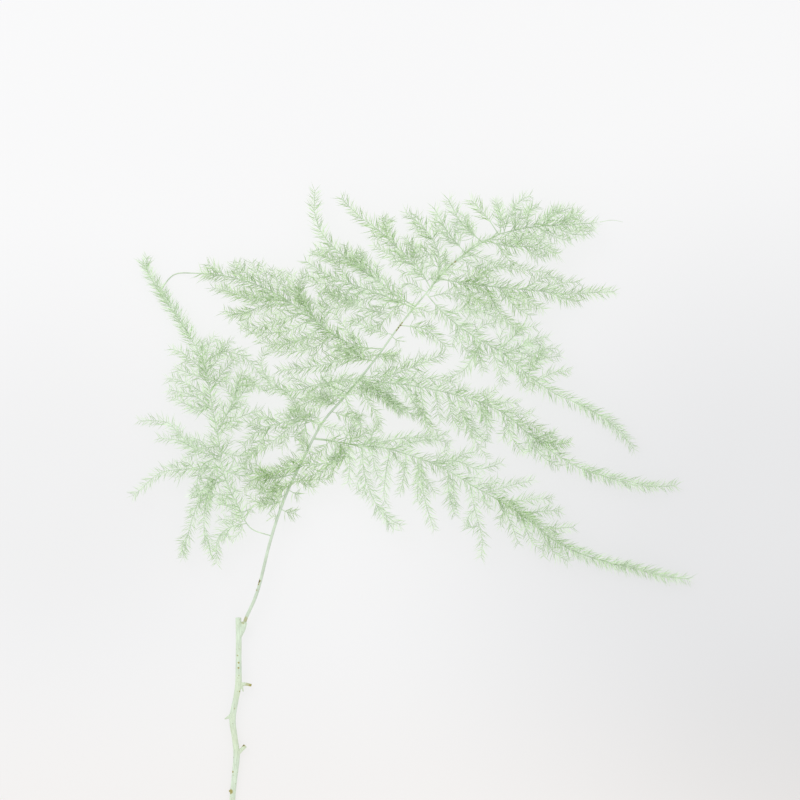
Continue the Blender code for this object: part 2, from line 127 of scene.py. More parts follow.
# Thorn, spurs and bud on the old stem, each as (x, y, rise from the stem, radius)
STEM_GROWTHS = {
    "thorn": ((116.4, 42.6, 0.0, 1.35), (114.4, 41.2, 0.0, 0.9), (112.0, 40.0, -0.2, 0.3)),
    "lower spur": ((117.6, 21.2, 0.0, 0.8), (120.4, 24.4, 0.3, 0.95), (122.4, 26.6, 0.5, 1.1)),
    "upper spur": ((119.0, 57.2, 0.0, 1.1), (122.4, 57.6, 0.3, 0.85), (125.6, 57.0, 0.5, 0.65)),
    "nib": ((120.6, 57.2, 0.0, 0.6), (121.4, 53.8, -0.2, 0.3)),
    "bud": ((115.9, 3.2, 0.0, 0.9), (114.2, 4.0, 0.2, 0.45)),
}
COLLAR_ROUTE = ((119.3, 81.0, 5.2), (120.8, 84.8, 5.4), (122.2, 88.6, 5.7))

# The frond's midrib, from the collar to where it passes into the top right spray
RACHIS_ROUTE = (
    (123.4, 92.0, 6.0),
    (127.3, 100.5, 6.8),
    (130.3, 110.0, 7.7),
    (135.3, 130.0, 9.5),
    (142.0, 150.0, 11.3),
    (151.3, 170.0, 13.0),
    (161.2, 188.5, 14.6),
    (172.5, 201.8, 16.0),
    (187.2, 219.7, 17.3),
    (200.0, 237.3, 18.0),
    (212.0, 252.0, 18.0),
    (224.0, 266.0, 17.4),
    (236.0, 275.5, 16.4),
    (250.0, 283.0, 15.0),
)

# A spray is the height of its tip, the share of its axis that is bare at the root, its axis and its
# branchlets. Each branchlet is its points from root to tip. The first point of each is moved onto what it
# grows from.
Spray = namedtuple("Spray", "tip_height bare axis branchlets")

SPRAYS = {
    "low left": Spray(3.0, 0.1, (
        (135.5, 132), (131, 132), (127, 134), (123.5, 138.5), (120.5, 144.5), (116, 152), (113, 160),
        (110.5, 169), (108.8, 183), (106, 196), (104.5, 206), (101.5, 219), (94, 233), (85, 246),
        (77.5, 257), (72.5, 266), (69, 272.5),
    ), (
        ((123.5, 138.5), (117, 137), (112, 134.5), (108.5, 129), (108, 115)),
        ((113, 160), (106, 157), (102.5, 146), (102, 135), (103, 124)),
        ((112, 163), (102, 156), (97, 143), (93.5, 131), (91, 118)),
        ((111, 166), (104, 166), (92, 165.5), (80, 163.5), (71, 156), (64, 150)),
        ((109, 177), (99, 176), (91, 181.5), (83, 189), (66, 189.5)),
        ((109.5, 172), (100, 174), (90, 179.5), (76, 181.5)),
        ((111, 168), (105, 162), (103, 152), (105, 141)),
        ((110, 172), (101, 167), (98, 156), (98, 149)),
        ((115.5, 152.5), (106, 153), (99, 152)),
        ((120.5, 144.5), (115, 142)),
        ((121, 144), (129, 146.5)),
        ((116, 152), (118.5, 159)),
        ((106, 195), (97, 202), (81, 206)),
        ((105, 201), (92, 209), (80.5, 211.5)),
        ((103, 213), (92, 223), (82, 226.5)),
        ((103.5, 211), (90, 215), (86, 219)),
        ((104.5, 207), (103, 222), (108, 235)),
        ((101.5, 219), (101, 227), (100, 233)),
        ((109, 184), (115, 196), (119, 207), (122.5, 218)),
        ((109, 183), (119, 191), (134, 196)),
        ((113, 192), (121, 203), (127, 214)),
        ((105, 204), (112, 215), (119, 221)),
        ((111, 165), (121, 162), (128, 163)),
        ((110, 174), (121, 172), (127, 176)),
    )),
    "dark left": Spray(6.0, 0.05, (
        (148, 163), (141, 161), (134, 161), (126, 164), (118, 168),
    ), (
        ((145, 157.5), (136, 154), (128, 156), (122, 160)),
        ((142, 150), (136, 148), (127, 150), (123, 155)),
        ((139.5, 142), (135, 141.5), (134, 139)),
        ((140.5, 145.5), (145, 143.5), (151, 144)),
        ((146, 159), (155, 160), (168, 161)),
        ((144.5, 155), (150, 152), (152.5, 153)),
        ((143, 153), (132, 147.5), (128, 144)),
    )),
    "middle left": Spray(8.0, 0.1, (
        (161.5, 188), (154, 190.5), (146, 189.5), (138, 188), (130, 185), (124, 180.5), (119, 175),
    ), (
        ((150, 190), (141, 183), (132, 176), (121, 171)),
        ((153, 190), (152, 182), (149.5, 172)),
        ((135, 187), (129, 177), (120, 165)),
        ((140, 188.5), (132, 192), (124, 189)),
        ((157, 190), (148, 196), (143, 192.5)),
    )),
    "olive": Spray(12.0, 0.1, (
        (160, 179.5), (171, 178), (175, 172.5), (166, 169), (150, 167), (140, 164.5), (131, 161.5),
    ), (
        ((165, 179), (160, 174), (152, 172)),
        ((158, 168.5), (148, 170.5), (138, 168)),
    )),
    "low band": Spray(13.0, 0.05, (
        (174, 203.5), (166, 207.5), (157, 207.5), (147, 204.5), (138, 206.5), (131, 204.5),
    ), (
        ((173, 202.5), (163, 201.5), (152, 198), (143, 192.5)),
        ((155, 207), (147, 211), (139, 210)),
        ((168, 198), (160, 201), (150, 203)),
    )),
    "high band": Spray(14.0, 0.05, (
        (187, 219.5), (176, 221), (166, 218.5), (156, 216.5), (145, 215.5), (136, 214.5),
    ), (
        ((182, 220.5), (172, 226), (160, 226)),
        ((150, 216), (147, 218), (146, 220)),
        ((190, 223), (195, 222), (200.5, 221)),
    )),
    "top left": Spray(REST_LEVEL, 0.05, (
        (191.5, 225.5), (183, 226), (175, 228), (166, 233), (158, 239), (149, 246), (140, 252),
        (131, 256.5), (121, 260), (110, 262.5), (98, 263.5), (89, 263.5), (84, 261.5), (80.5, 257),
        (78, 251),
    ), (
        ((140, 252), (125, 251), (113, 254.5), (103, 257)),
        ((146, 248), (132, 247.5), (122, 243), (109, 245)),
        ((152, 244), (138, 239.5), (127, 236), (118.5, 238.5)),
        ((156, 240.5), (144, 234.5), (132, 233.5), (120, 233.5)),
        ((161, 236.5), (150, 230), (138, 227.5), (126, 231.5)),
        ((166, 233), (158, 226.5), (145, 224), (134, 225)),
        ((122, 259.5), (118, 265), (114.5, 271)),
        ((131, 256.5), (128, 264), (124.5, 271.5)),
        ((140, 252), (138, 261), (134.5, 269)),
        ((150, 245.5), (147, 256), (145, 267)),
        ((112, 262), (107, 266), (101, 269.5)),
        ((144, 249), (130, 252), (119, 256)),
        ((158, 239), (152, 250), (141, 259)),
    )),
    "upper left": Spray(7.0, 0.05, (
        (206.5, 246), (197, 250), (187, 254), (177, 257.5), (167, 261), (158, 266), (150, 271.5),
    ), (
        ((190, 253), (180, 250), (168, 250)),
        ((183, 255.5), (172, 251), (160, 255)),
        ((196, 250.5), (184, 242), (172, 239)),
        ((200, 249), (190, 238), (180, 234)),
        ((176, 258), (168, 268), (156, 276)),
    )),
    "first plume": Spray(9.0, 0.05, (
        (207, 247), (197, 253), (189, 259), (181, 265), (174, 270), (167, 276.5), (160.5, 284),
        (157.5, 293), (157, 302), (158.5, 308),
    ), (
        ((168, 275.5), (161, 275), (155, 276)),
        ((183, 263), (176, 273), (171, 280)),
        ((191, 257.5), (184, 268), (178, 277)),
    )),
    "second plume": Spray(11.0, 0.05, (
        (215, 256), (210, 265), (203, 272), (196, 278), (189, 285), (182, 289.5), (176, 296),
        (168, 303),
    ), (
        ((198, 276), (194, 285), (190, 294)),
        ((193, 281), (193, 288), (197, 293)),
        ((205, 270), (194, 273), (184, 279)),
    )),
    "third plume": Spray(12.0, 0.05, (
        (219, 261), (220, 268), (218, 277), (213.5, 284), (208, 290), (200, 295.5),
    ), (
        ((219, 272), (210, 274), (203, 281)),
        ((216, 280), (218, 286), (215, 292)),
    )),
    "fourth plume": Spray(12.0, 0.05, (
        (232, 274), (226, 281), (221, 288), (218, 294), (215.5, 299),
    ), ()),
    "fifth plume": Spray(14.0, 0.05, (
        (241, 279), (235, 284), (229, 290), (225, 297), (223.5, 303.5),
    ), (
        ((232, 286.5), (236, 286), (238, 283)),
    )),
    "sixth plume": Spray(16.0, 0.3, (
        (249, 283), (245, 289), (240, 295), (233, 302),
    ), ()),
    "top right": Spray(8.0, 0.0, (
        (250, 283), (257, 285), (265, 286), (273, 287), (281, 287.5), (290, 288), (301.5, 289),
    ), (
        ((252, 284), (250, 293), (247.5, 302)),
        ((257, 285), (257.5, 293), (256.5, 300.5)),
        ((263, 286), (264, 293), (268, 300)),
        ((272, 287), (277, 293), (284, 297.5)),
        ((280, 287.5), (287, 292), (294, 292)),
        ((266, 286), (276, 294), (277, 299)),
        ((268, 286), (278, 281), (288, 279)),
        ((276, 287), (285, 283), (296, 282)),
    )),
    "right fifth": Spray(10.0, 0.05, (
        (243, 279), (250, 277), (258, 276.5), (266, 276.5), (274, 275), (282, 271.5),
    ), (
        ((255, 276.5), (265, 282), (276, 280)),
        ((248, 277.5), (254, 270), (259.5, 265)),
        ((262, 276.5), (269, 271.5), (276, 272)),
    )),
    "right fourth": Spray(REST_LEVEL, 0.05, (
        (219, 260.5), (228, 259), (238, 257.5), (248, 256.5), (258, 255.5), (270, 254.5),
        (283, 253), (297, 254), (311, 254.5),
    ), (
        ((236, 258), (246, 266), (260, 265), (278, 263)),
        ((258, 255.5), (265, 249), (275, 244)),
        ((250, 256), (257, 247), (268, 240.5)),
        ((243, 257), (250, 243), (264, 233)),
        ((270, 254.5), (280, 258.5), (293, 259)),
        ((262, 255), (272, 261), (284, 260.5)),
        ((230, 258.5), (238, 250), (246, 242)),
        ((226, 259.5), (232, 249), (240, 238)),
        ((275, 254), (284, 250), (293, 249)),
    )),
    "right third": Spray(4.0, 0.05, (
        (213, 253), (220, 245), (228, 238), (236, 232), (245, 227.5), (253, 222), (260, 216),
        (268, 209.5), (276, 204), (286, 199.5), (296, 195), (305, 188.5), (313, 181), (319.5, 172.5),
    ), (
        ((252, 223), (262, 227), (274, 231)),
        ((260, 216), (271, 220.5), (284, 222.5)),
        ((268, 209.5), (278, 214), (288.5, 214.5)),
        ((245, 227.5), (250, 214), (252.5, 205)),
        ((236, 232), (240, 220), (243, 211)),
        ((262, 214.5), (265, 207), (264, 202)),
        ((228, 238), (232, 226), (243, 219)),
        ((241, 230), (232, 215), (219.5, 210)),
        ((249, 225), (258, 233), (262, 240)),
        ((264, 213), (272, 225), (270, 229)),
    )),
    "short right": Spray(14.0, 0.05, (
        (200, 237.3), (206, 236.5), (214, 234.5), (219, 229), (226, 225),
    ), (
        ((196, 231.5), (199, 229.5), (203, 228.5)),
    )),
    "middle plume": Spray(13.0, 0.1, (
        (181, 211.5), (191, 211.5), (200, 214), (209, 217.5), (217, 220.5), (225, 225),
    ), ()),
    "right second": Spray(3.0, 0.05, (
        (180.5, 211), (190, 209), (200, 208), (210, 206.5), (220, 204.5), (230, 202), (240, 199),
        (250, 194.5), (258, 188.5), (266, 181.5), (275, 175), (285, 168.5), (295, 164), (305, 161),
        (316, 159), (327, 156.5), (342, 157.5),
    ), (
        ((182, 210.5), (190, 202), (200, 196), (210, 191)),
        ((240, 199), (250, 199), (262, 198)),
        ((250, 194.5), (260, 193), (269, 193.5)),
        ((264, 183), (274, 181), (279.5, 187)),
        ((270, 178.5), (279, 178), (287, 179)),
        ((262, 185), (271, 172), (282, 165)),
        ((253, 192.5), (256, 181), (264, 171)),
        ((210, 206.5), (212, 194), (215, 181)),
        ((228, 202.5), (233, 190), (245, 177)),
        ((224, 203.5), (226, 192), (232, 182)),
        ((236, 200.5), (244, 190), (247, 183)),
    )),
    "right first": Spray(3.0, 0.1, (
        (157.5, 180), (165, 179.5), (173, 178.5), (181, 177), (190, 176.5), (199, 174), (208, 171.5),
        (217, 168), (226, 163.5), (233, 159), (241, 154.5), (250, 149.5), (260, 143), (270, 135.5),
        (279, 128.5), (289, 123.5), (300, 120), (311, 117), (323, 114), (335, 111), (348.5, 110),
    ), (
        ((178, 177.5), (190, 179), (202, 181), (214, 181.5), (227, 183.5)),
        ((216, 168.5), (228, 169.5), (240, 165.5), (254, 170)),
        ((222, 166), (232, 173), (241, 174)),
        ((174, 178), (175, 168), (173.5, 155)),
        ((181, 177), (182.5, 162), (189, 146), (199, 132.5)),
        ((183, 160), (181, 153), (178.5, 150)),
        ((195, 175), (193, 164), (192, 153), (193.5, 145)),
        ((188, 148), (196, 140), (204, 136)),
        ((209, 171), (209, 160), (208.5, 146)),
        ((210, 170), (212, 152), (218, 132)),
        ((224, 165), (224.5, 153), (228.5, 139)),
        ((235, 158), (237.5, 145), (241, 130), (240, 118)),
        ((239, 137), (235, 136.5), (229.5, 139.5)),
        ((250, 149.5), (256, 137), (260, 125)),
        ((260, 143), (265, 131), (270, 124)),
        ((270, 135.5), (277, 124), (287, 117.5)),
        ((243, 153.5), (254, 157), (270, 161)),
        ((252, 148), (265, 150.5), (279, 150.5)),
        ((261, 142), (272, 144.5), (284, 144)),
        ((270, 135.5), (280, 136), (290, 136.5)),
        ((172, 178.5), (176, 187), (183, 196)),
        ((185, 177), (187, 186), (190, 193)),
        ((256, 146), (268, 139), (281, 130)),
    )),
}

# The two tips that carry the frond on the table, besides the cut end of the stem
RESTING = ("top left", "right fourth")

# A bare thread goes on past the needles of the top right spray
THREAD_ROUTE = ((300.0, 289.0, 8.2), (306.0, 290.0, 8.6), (311.5, 289.0, 9.0))

# More branchlets in between, finer than the solids hold, each from its root to its tip. The crossing ones
# rise and pass over the midrib.
FINE_BRANCHLETS = {
    "low left": (
        ((104, 219), (111, 224), (120, 222.5), (126, 218), (131, 212), (137.5, 207.5)),
        ((114, 200), (121, 212), (127.5, 208), (132.5, 202.5)),
        ((106, 197), (98, 196), (89, 200), (82, 203)),
        ((103, 214), (110, 222), (110, 233)),
        ((73.5, 263), (72.5, 269), (74.5, 275)),
        ((103, 135), (104.5, 128), (105.5, 119)),
        ((94, 133), (91, 127), (92, 120)),
    ),
    "middle left": (
        ((150, 190), (145, 202), (135, 210), (131, 216), (131.5, 222.5), (137.5, 227.5)),
        ((116, 205), (122.5, 208), (131, 206.5), (138, 204.5)),
        ((161, 188), (156, 193), (149, 191.5), (142.5, 196)),
    ),
    "olive": (
        ((172, 176), (163, 165), (150, 161), (139, 157), (129, 151.5)),
        ((152, 167), (137.5, 165), (126, 160), (120, 152)),
        ((165, 172), (172, 176), (179, 181), (187, 187)),
        ((173, 177), (177, 183), (178, 190)),
        ((146, 160), (134, 151), (127.5, 146)),
        ((158, 172), (153, 176), (149, 186)),
    ),
    "dark plume": (
        ((179, 212), (186, 206.5), (194, 200.5), (202, 195), (210.5, 190.5)),
        ((181, 209), (187, 204.5), (195, 198.5), (203, 194)),
        ((140, 160), (133, 161), (127, 163)),
        ((141, 157), (134, 157), (126, 158)),
    ),
    "low band": (
        ((181, 208), (184, 199), (189, 191), (189, 181)),
        ((172.5, 202), (176, 192.5), (181, 186), (183, 177.5)),
        ((166, 194), (175, 191.5), (185, 190)),
        ((171, 200), (162, 198), (152, 193)),
        ((168, 203), (157, 203), (147, 199)),
    ),
    "high band": (
        ((190, 222), (182, 221.5), (174, 224), (164, 228)),
        ((189, 221), (195, 222), (203, 223.5)),
        ((178, 221), (168, 222.5), (160, 222)),
    ),
    "top left": (
        ((163, 236), (162, 246), (160, 256)),
        ((130, 247), (122, 252), (114, 255), (108, 259)),
        ((129, 243), (120, 243), (111, 241)),
        ((153, 244), (150, 255), (153, 266)),
        ((128, 258), (122, 265), (117, 271.5)),
        ((136, 254), (133, 262), (129.5, 271)),
        ((145, 250), (142, 260), (139.5, 268)),
        ((172, 229), (163, 236), (156, 243), (151, 252), (149, 262)),
        ((178, 227), (172, 237), (165, 246)),
        ((168, 232), (156, 231), (144, 229), (133, 228)),
    ),
    "upper left": (
        ((170, 260), (160, 258), (151, 261)),
        ((177, 257), (169, 252), (162, 255), (157, 251)),
        ((172, 259), (167, 254), (163, 247)),
        ((165, 262), (157, 261), (148, 265)),
        ((180, 250), (170, 246), (160, 247), (152, 252)),
        ((195, 242), (185, 245), (175, 247.5), (167.5, 250)),
        ((196, 233), (190, 234), (181, 237.5), (172.5, 241)),
    ),
    "first plume": (
        ((188, 260), (177, 268), (164, 271), (152, 274)),
        ((183, 262), (180, 270), (182, 277)),
    ),
    "second plume": (
        ((207, 268), (200, 269), (192, 268.5)),
        ((213, 260), (206, 264), (198, 262)),
        ((206, 267), (206, 276), (200, 284)),
    ),
    "third plume": (
        ((219, 266), (211, 270), (202, 275)),
        ((213, 254), (205, 258), (198, 257)),
        ((216, 258), (222, 266), (226, 272)),
    ),
    "fourth plume": (
        ((228, 275), (222, 282), (217, 290)),
        ((229, 276), (230, 283), (226, 291)),
    ),
    "fifth plume": (
        ((238, 281), (233, 288), (231, 296)),
    ),
    "right fifth": (
        ((230, 271), (240, 279), (250, 280), (262, 279)),
        ((226, 268.5), (235, 272), (245, 269), (254, 266)),
        ((230, 271), (238, 266), (247, 267)),
        ((250, 283), (258, 281), (270, 279), (280, 271)),
    ),
    "right fourth": (
        ((248, 256), (259, 250), (270, 244)),
    ),
    "dark heart": (
        ((229, 260), (238, 257), (246, 250), (250, 242)),
        ((230, 259), (240, 263), (251, 259)),
        ((226, 250), (236, 250), (246, 246)),
    ),
    "dark tips": (
        ((256, 190), (265, 187.5), (272, 184), (279.5, 179)),
        ((266, 182), (275, 178), (284, 178.5), (288, 181)),
        ((246, 152), (255, 148), (263, 142.5), (272, 137)),
        ((207, 204), (209, 196), (214, 188), (221, 183)),
    ),
    "right third": (
        ((214, 251), (224, 253), (233, 250)),
        ((236, 232), (243, 238), (251, 237)),
        ((214, 252), (217, 259), (215, 266)),
        ((222, 243), (236, 245), (250, 240), (261, 234)),
        ((247, 226), (258, 223), (268, 224)),
        ((258, 224), (266, 230), (277, 231.5)),
        ((260, 221), (271, 225), (282, 226)),
        ((255, 229), (262, 236), (271, 236)),
    ),
    "top right": (
        ((252, 284), (255, 293), (261, 300), (268, 303)),
        ((270, 287), (278, 293), (289, 297)),
        ((276, 287), (284, 291), (292, 296)),
        ((286, 288), (293, 284), (300, 286)),
        ((250, 283), (250, 292), (248, 298), (245, 302)),
        ((255, 285), (261, 292), (272, 298)),
    ),
    "right second": (
        ((196, 209), (208, 211), (220, 210), (232, 208)),
        ((200, 208), (206, 200), (212, 190)),
        ((218, 204), (219, 194), (222, 186)),
        ((228, 196), (234, 186), (240, 176), (246, 168)),
        ((188, 209), (194, 203), (197, 195)),
        ((192, 209), (197, 199), (203, 190)),
        ((240, 199), (243, 188), (244, 177)),
    ),
    "right first": (
        ((196, 175), (206, 179), (218, 180), (228, 177)),
        ((203, 173), (202, 162), (199, 150)),
        ((168, 179), (167, 172), (165, 167)),
        ((186, 176.5), (187, 168), (190, 158)),
        ((226, 163), (227, 152), (229, 142)),
    ),
    "left tail": (
        ((98, 229), (91, 239), (84, 250), (77, 260)),
        ((86, 246), (80, 255), (74.5, 264), (70.5, 270)),
    ),
    "right tail": (
        ((286, 199), (297, 193.5), (307, 188), (316, 178)),
        ((288, 166.5), (302, 162), (317, 157.5), (332, 157.5)),
    ),
    "low right tail": (
        ((276, 131), (288, 124.5), (303, 118.5), (318, 116)),
        ((306, 118.5), (320, 115.5), (333, 112), (344, 110.5)),
    ),
    "crossing": (
        ((174, 227), (182, 224), (190, 222), (201, 219)),
        ((158, 207), (166, 208), (174, 209.5), (184, 208.5), (192, 206)),
        ((162, 211), (170, 210), (178, 210.5), (187, 211)),
        ((164, 203), (171, 205), (178, 206), (188, 209)),
        ((166, 201), (172, 202), (179, 203.5), (188, 203)),
        ((154, 190), (162, 187), (169, 185), (177, 185)),
        ((200, 249), (207, 246), (214, 244), (220, 241)),
        ((213, 259), (219, 263), (228, 265), (237, 263)),
    ),
}

# How long the side twigs of each spray are, how olive its needles are, where 0 is mint and past 1 is darker
# still, the share of its axis where its side twigs stop, and how closely they may stand
Look = namedtuple("Look", "twig_length olive twig_end closeness")
SPRAY_LOOKS = {
    "rachis": Look(5.0, 0.35, 1.0, 3.0),
    "low left": Look(10.0, 0.25, 0.68, 2.3),
    "dark left": Look(9.0, 0.8, 1.0, 3.0),
    "middle left": Look(9.0, 0.5, 1.0, 2.1),
    "olive": Look(7.0, 1.0, 1.0, 2.2),
    "dark plume": Look(1.5, 1.7, 0.4, 2.0),
    "low band": Look(8.0, 0.45, 1.0, 1.8),
    "high band": Look(6.0, 0.6, 1.0, 1.7),
    "top left": Look(10.0, 0.75, 0.85, 2.7),
    "upper left": Look(9.0, 0.5, 1.0, 1.9),
    "first plume": Look(7.0, 0.5, 0.6, 3.0),
    "second plume": Look(8.0, 0.5, 0.8, 2.4),
    "third plume": Look(8.0, 0.5, 1.0, 2.6),
    "fourth plume": Look(6.0, 0.35, 0.8, 2.2),
    "fifth plume": Look(6.0, 0.3, 0.8, 1.8),
    "sixth plume": Look(3.0, 0.45, 0.5, 3.0),
    "top right": Look(7.0, 0.3, 1.0, 0.8),
    "right fifth": Look(8.0, 0.35, 1.0, 1.1),
    "right fourth": Look(9.0, 0.5, 0.85, 1.0),
    "right third": Look(10.0, 0.2, 0.74, 1.3),
    "short right": Look(5.0, 0.4, 0.8, 2.6),
    "middle plume": Look(7.0, 0.5, 0.9, 3.0),
    "right second": Look(9.0, 0.35, 0.66, 1.7),
    "right first": Look(10.0, 0.15, 0.72, 1.4),
    "dark heart": Look(5.0, 1.2, 0.6, 2.0),
    "dark tips": Look(4.0, 1.2, 0.5, 1.6),
    "crossing": Look(8.0, 0.4, 1.0, 4.0),
    "left tail": Look(1.0, 0.4, 0.4, 1.0),
    "right tail": Look(1.0, 0.2, 0.4, 1.0),
    "low right tail": Look(1.0, 0.2, 0.4, 1.0),
}

# The needles are made in six pieces, one for each part of the frond
NEEDLE_PIECES = {
    "low_left_needles": ("low left", "left tail"),
    "left_needles": (
        "dark left", "middle left", "olive", "dark plume", "low band", "high band", "short right",
        "crossing",
    ),
    "top_left_needles": ("top left", "upper left"),
    "top_needles": (
        "first plume", "second plume", "third plume", "fourth plume", "fifth plume", "sixth plume",
        "top right", "right fifth", "rachis",
    ),
    "right_needles": ("right fourth", "right third", "middle plume", "dark heart"),
    "low_right_needles": ("right second", "right first", "dark tips", "right tail", "low right tail"),
}

# What each order of shoot is like: its bare length at the root, the share of it where its needles stop, the
# length of its side twigs as a share of its spray's, the share of it where they stop, which the spray's look
# says for an axis, its radius at the root and the tip, and its needles' length as a share of the usual
Kind = namedtuple("Kind", "bare leafy_end twig_share twig_end root_radius tip_radius needle_scale")
MIDRIB = Kind(205.0, 1.0, 1.0, None, 0.85, 0.28, 0.9)
AXIS = Kind(4.0, 1.0, 1.0, None, 0.28, 0.18, 1.3)
HOOKED_AXIS = AXIS._replace(leafy_end=0.8, tip_radius=0.3)
BRANCHLET = Kind(1.5, 1.0, 0.9, 0.62, 0.24, 0.15, 1.1)
FINE_BRANCHLET = Kind(1.5, 1.0, 0.9, 0.6, 0.2, 0.14, 1.05)
TWIG = Kind(0.8, 1.0, 0.0, 0.0, 0.16, 0.12, 0.92)
THREAD = Kind(100.0, 1.0, 0.0, 0.0, 0.16, 0.08, 1.0)
Shoot = namedtuple("Shoot", "spray kind path bare")

# Side twigs get shorter over the last third of their stretch, vary in length and in the gaps between them,
# and grow only where the shoots that pass within a few millimetres leave them room
TWIG_SHORTENING = 3.0
TWIG_LENGTHS = (0.75, 1.15)
TWIG_GAPS = (0.85, 1.15)
FIRST_TWIG = 2.0
SHORTEST_TWIG = 3.0
TWIGLESS_TIP = 8.0
TWIG_OPENING = (46, 62)
TWIG_CLOSING = (18, 34)
TWIG_LIFT = 0.25
ROOM_CELL = 2.5

# The height that a branchlet reaches where it passes over the midrib, and the share of it that climbs there
CROSSING_HEIGHT = 20.4
CLIMB = 0.35

# The steps of the drawn midrib are short enough to hold marks
MIDRIB_STEP = 0.5
THREAD_STEP = 1.0
STALK_SIDES = {"midrib": 12, "branchlets": 6, "twigs": 4}

# Needles in a tuft fan out to either side of their branchlet by up to TUFT_FAN, lean away from it by
# TUFT_LEAN, and straighten by NEEDLE_BEND half way. A tuft turns little, since the frond was pressed flat.
TUFT_FORMS = 8
TUFT_SCALES = (0.8, 1.15)
TUFT_SPIN = math.radians(30)
TUFT_FAN = 55
TUFT_LEAN = (26, 76)
NEEDLE_BEND = 0.88
NEEDLE_LENGTHS = (0.7, 1.1)

# Needles are shorter past this share of a shoot, by up to this share of their length. The margin lets a tuft
# stand right at the tip.
SHORTENING_START = 0.6
SHORTENING = 0.3
TIP_MARGIN = 0.01

# The drawn stem's rings, and the collar, which is swollen where the side frond leaves the stem
STEM_STEP = 0.6
STEM_RING = 24
GROWTH_STEP = 0.4
GROWTH_RING = 16
COLLAR_RADII = (1.2, 1.65, 1.45)

# Brown marks on the old stem and the frond's midrib, as (x, y, radius, strength). Their edges are ragged and
# fade out, both by a share of the radius.
MARK_RAGGEDNESS = 0.25
MARK_FADE = 0.35
STEM_MARKS = (
    (114.9, 3.6, 1.3, 0.62),
    (116.0, 13.5, 0.5, 0.7),
    (121.0, 27.3, 1.0, 0.92),
    (122.2, 27.2, 0.9, 0.5),
    (123.6, 57.2, 1.2, 0.35),
    (125.2, 57.0, 1.1, 0.65),
    (118.7, 72.0, 0.4, 0.5),
    (119.2, 68.4, 0.5, 0.62),
    (119.1, 65.8, 0.5, 0.62),
    (119.3, 62.0, 0.35, 0.4),
    (117.1, 45.4, 0.4, 0.4),
    (119.6, 54.0, 0.4, 0.5),
    (121.4, 88.6, 0.9, 0.35),
)
RACHIS_MARKS = (
    (122.6, 90.2, 1.4, 0.42),
    (121.9, 84.6, 0.6, 0.5),
    (129.3, 109.4, 0.8, 1.0),
    (128.9, 107.8, 0.5, 0.9),
    (128.0, 105.0, 0.5, 0.8),
    (198.7, 234.7, 0.55, 0.9),
    (199.5, 235.9, 0.6, 1.0),
    (200.3, 237.1, 0.6, 1.0),
    (201.1, 238.3, 0.5, 0.9),
    (209.0, 247.6, 0.35, 0.7),
    (226.0, 267.6, 0.4, 0.8),
    (227.6, 268.9, 0.4, 0.8),
    (234.0, 274.0, 0.4, 0.8),
)

# Colours that only vary a paint or a light
DARK_NEEDLE = (0.24, 0.40, 0.15)
PALE_NEEDLE = (0.86, 0.93, 0.82)
YELLOWED_BARK = (0.66, 0.70, 0.40)
BARK_FLECK = (0.34, 0.36, 0.2)
MARK_RIM = (0.36, 0.33, 0.11)
# COOL_LIGHT and WARM_LIGHT are painted light: they tint the floor's glow
COOL_LIGHT = (0.988, 0.992, 1.0)
WARM_LIGHT = (1.0, 0.98, 0.962)
WARM_LAMP = (1.0, 0.8, 0.6)
WHITE = (1.0, 1.0, 1.0)

# Painted shade in the floor's glow: where the ground is darker, as a place on the floor in metres, the
# distances from it between which the light eases, and the light near it and far from it
PAINTED_GROUND_SHADES = (
    ((0.194, -0.017, 0.0), 0.05, 0.24, 0.645, 0.757),
    ((-0.18, 0.02, 0.0), 0.02, 0.15, 0.935, 1.0),
    ((0.21, -0.13, 0.0), 0.0, 0.13, 0.945, 1.0),
)
FLOOR_HALF = 4.0


class FernSizes(bpy.types.PropertyGroup):
    """Sizes of the frond's fine parts."""

    needle_length: bpy.props.FloatProperty(
        name="Needle length", description="Length of one needle", default=0.0065, unit="LENGTH",
    )
    needle_radius: bpy.props.FloatProperty(
        name="Needle radius", description="Half the thickness of a needle", default=0.000125, unit="LENGTH",
    )
    tuft_spacing: bpy.props.FloatProperty(
        name="Tuft spacing", description="Distance between tufts along a branchlet", default=0.00125,
        unit="LENGTH",
    )
    needles_in_tuft: bpy.props.IntProperty(
        name="Needles in a tuft", description="How many needles grow from one point", default=4,
    )
    twig_spacing: bpy.props.FloatProperty(
        name="Twig spacing", description="Distance between side twigs", default=0.004, unit="LENGTH",
    )
    voxel: bpy.props.FloatProperty(
        name="Stem grain", description="Size of the cells that join the thorn and spurs to the stem",
        default=0.00018, unit="LENGTH",
    )


class FernColours(bpy.types.PropertyGroup):
    """Colours of the frond and its stage."""

    mint: bpy.props.FloatVectorProperty(
        name="Mint", description="Colour of the pale needles", subtype="COLOR", default=(0.755, 0.915, 0.675),
    )
    olive: bpy.props.FloatVectorProperty(
        name="Olive", description="Colour of the olive needles", subtype="COLOR", default=(0.54, 0.745, 0.37),
    )
    stem: bpy.props.FloatVectorProperty(
        name="Stem", description="Colour of the old stem", subtype="COLOR", default=(0.645, 0.755, 0.605),
    )
    mark: bpy.props.FloatVectorProperty(
        name="Mark", description="Colour of the brown marks", subtype="COLOR", default=(0.07, 0.045, 0.02),
    )
    floor: bpy.props.FloatVectorProperty(
        name="Floor", description="Colour of the floor", subtype="COLOR", default=(0.15, 0.15, 0.155),
    )


def sizes():
    return bpy.context.scene.fern_sizes


def colours():
    return bpy.context.scene.fern_colours


def vectors(points):
    return [Vector(point) for point in points]


def direction(path, index):
    before = path[max(index - 1, 0)]
    after = path[min(index + 1, len(path) - 1)]
    return (after - before).normalized()


def distances(path):
    """How far each point of a path is from its start."""
    run = [0.0]
    for first, second in zip(path, path[1:]):
        run.append(run[-1] + (second - first).length)
    return run


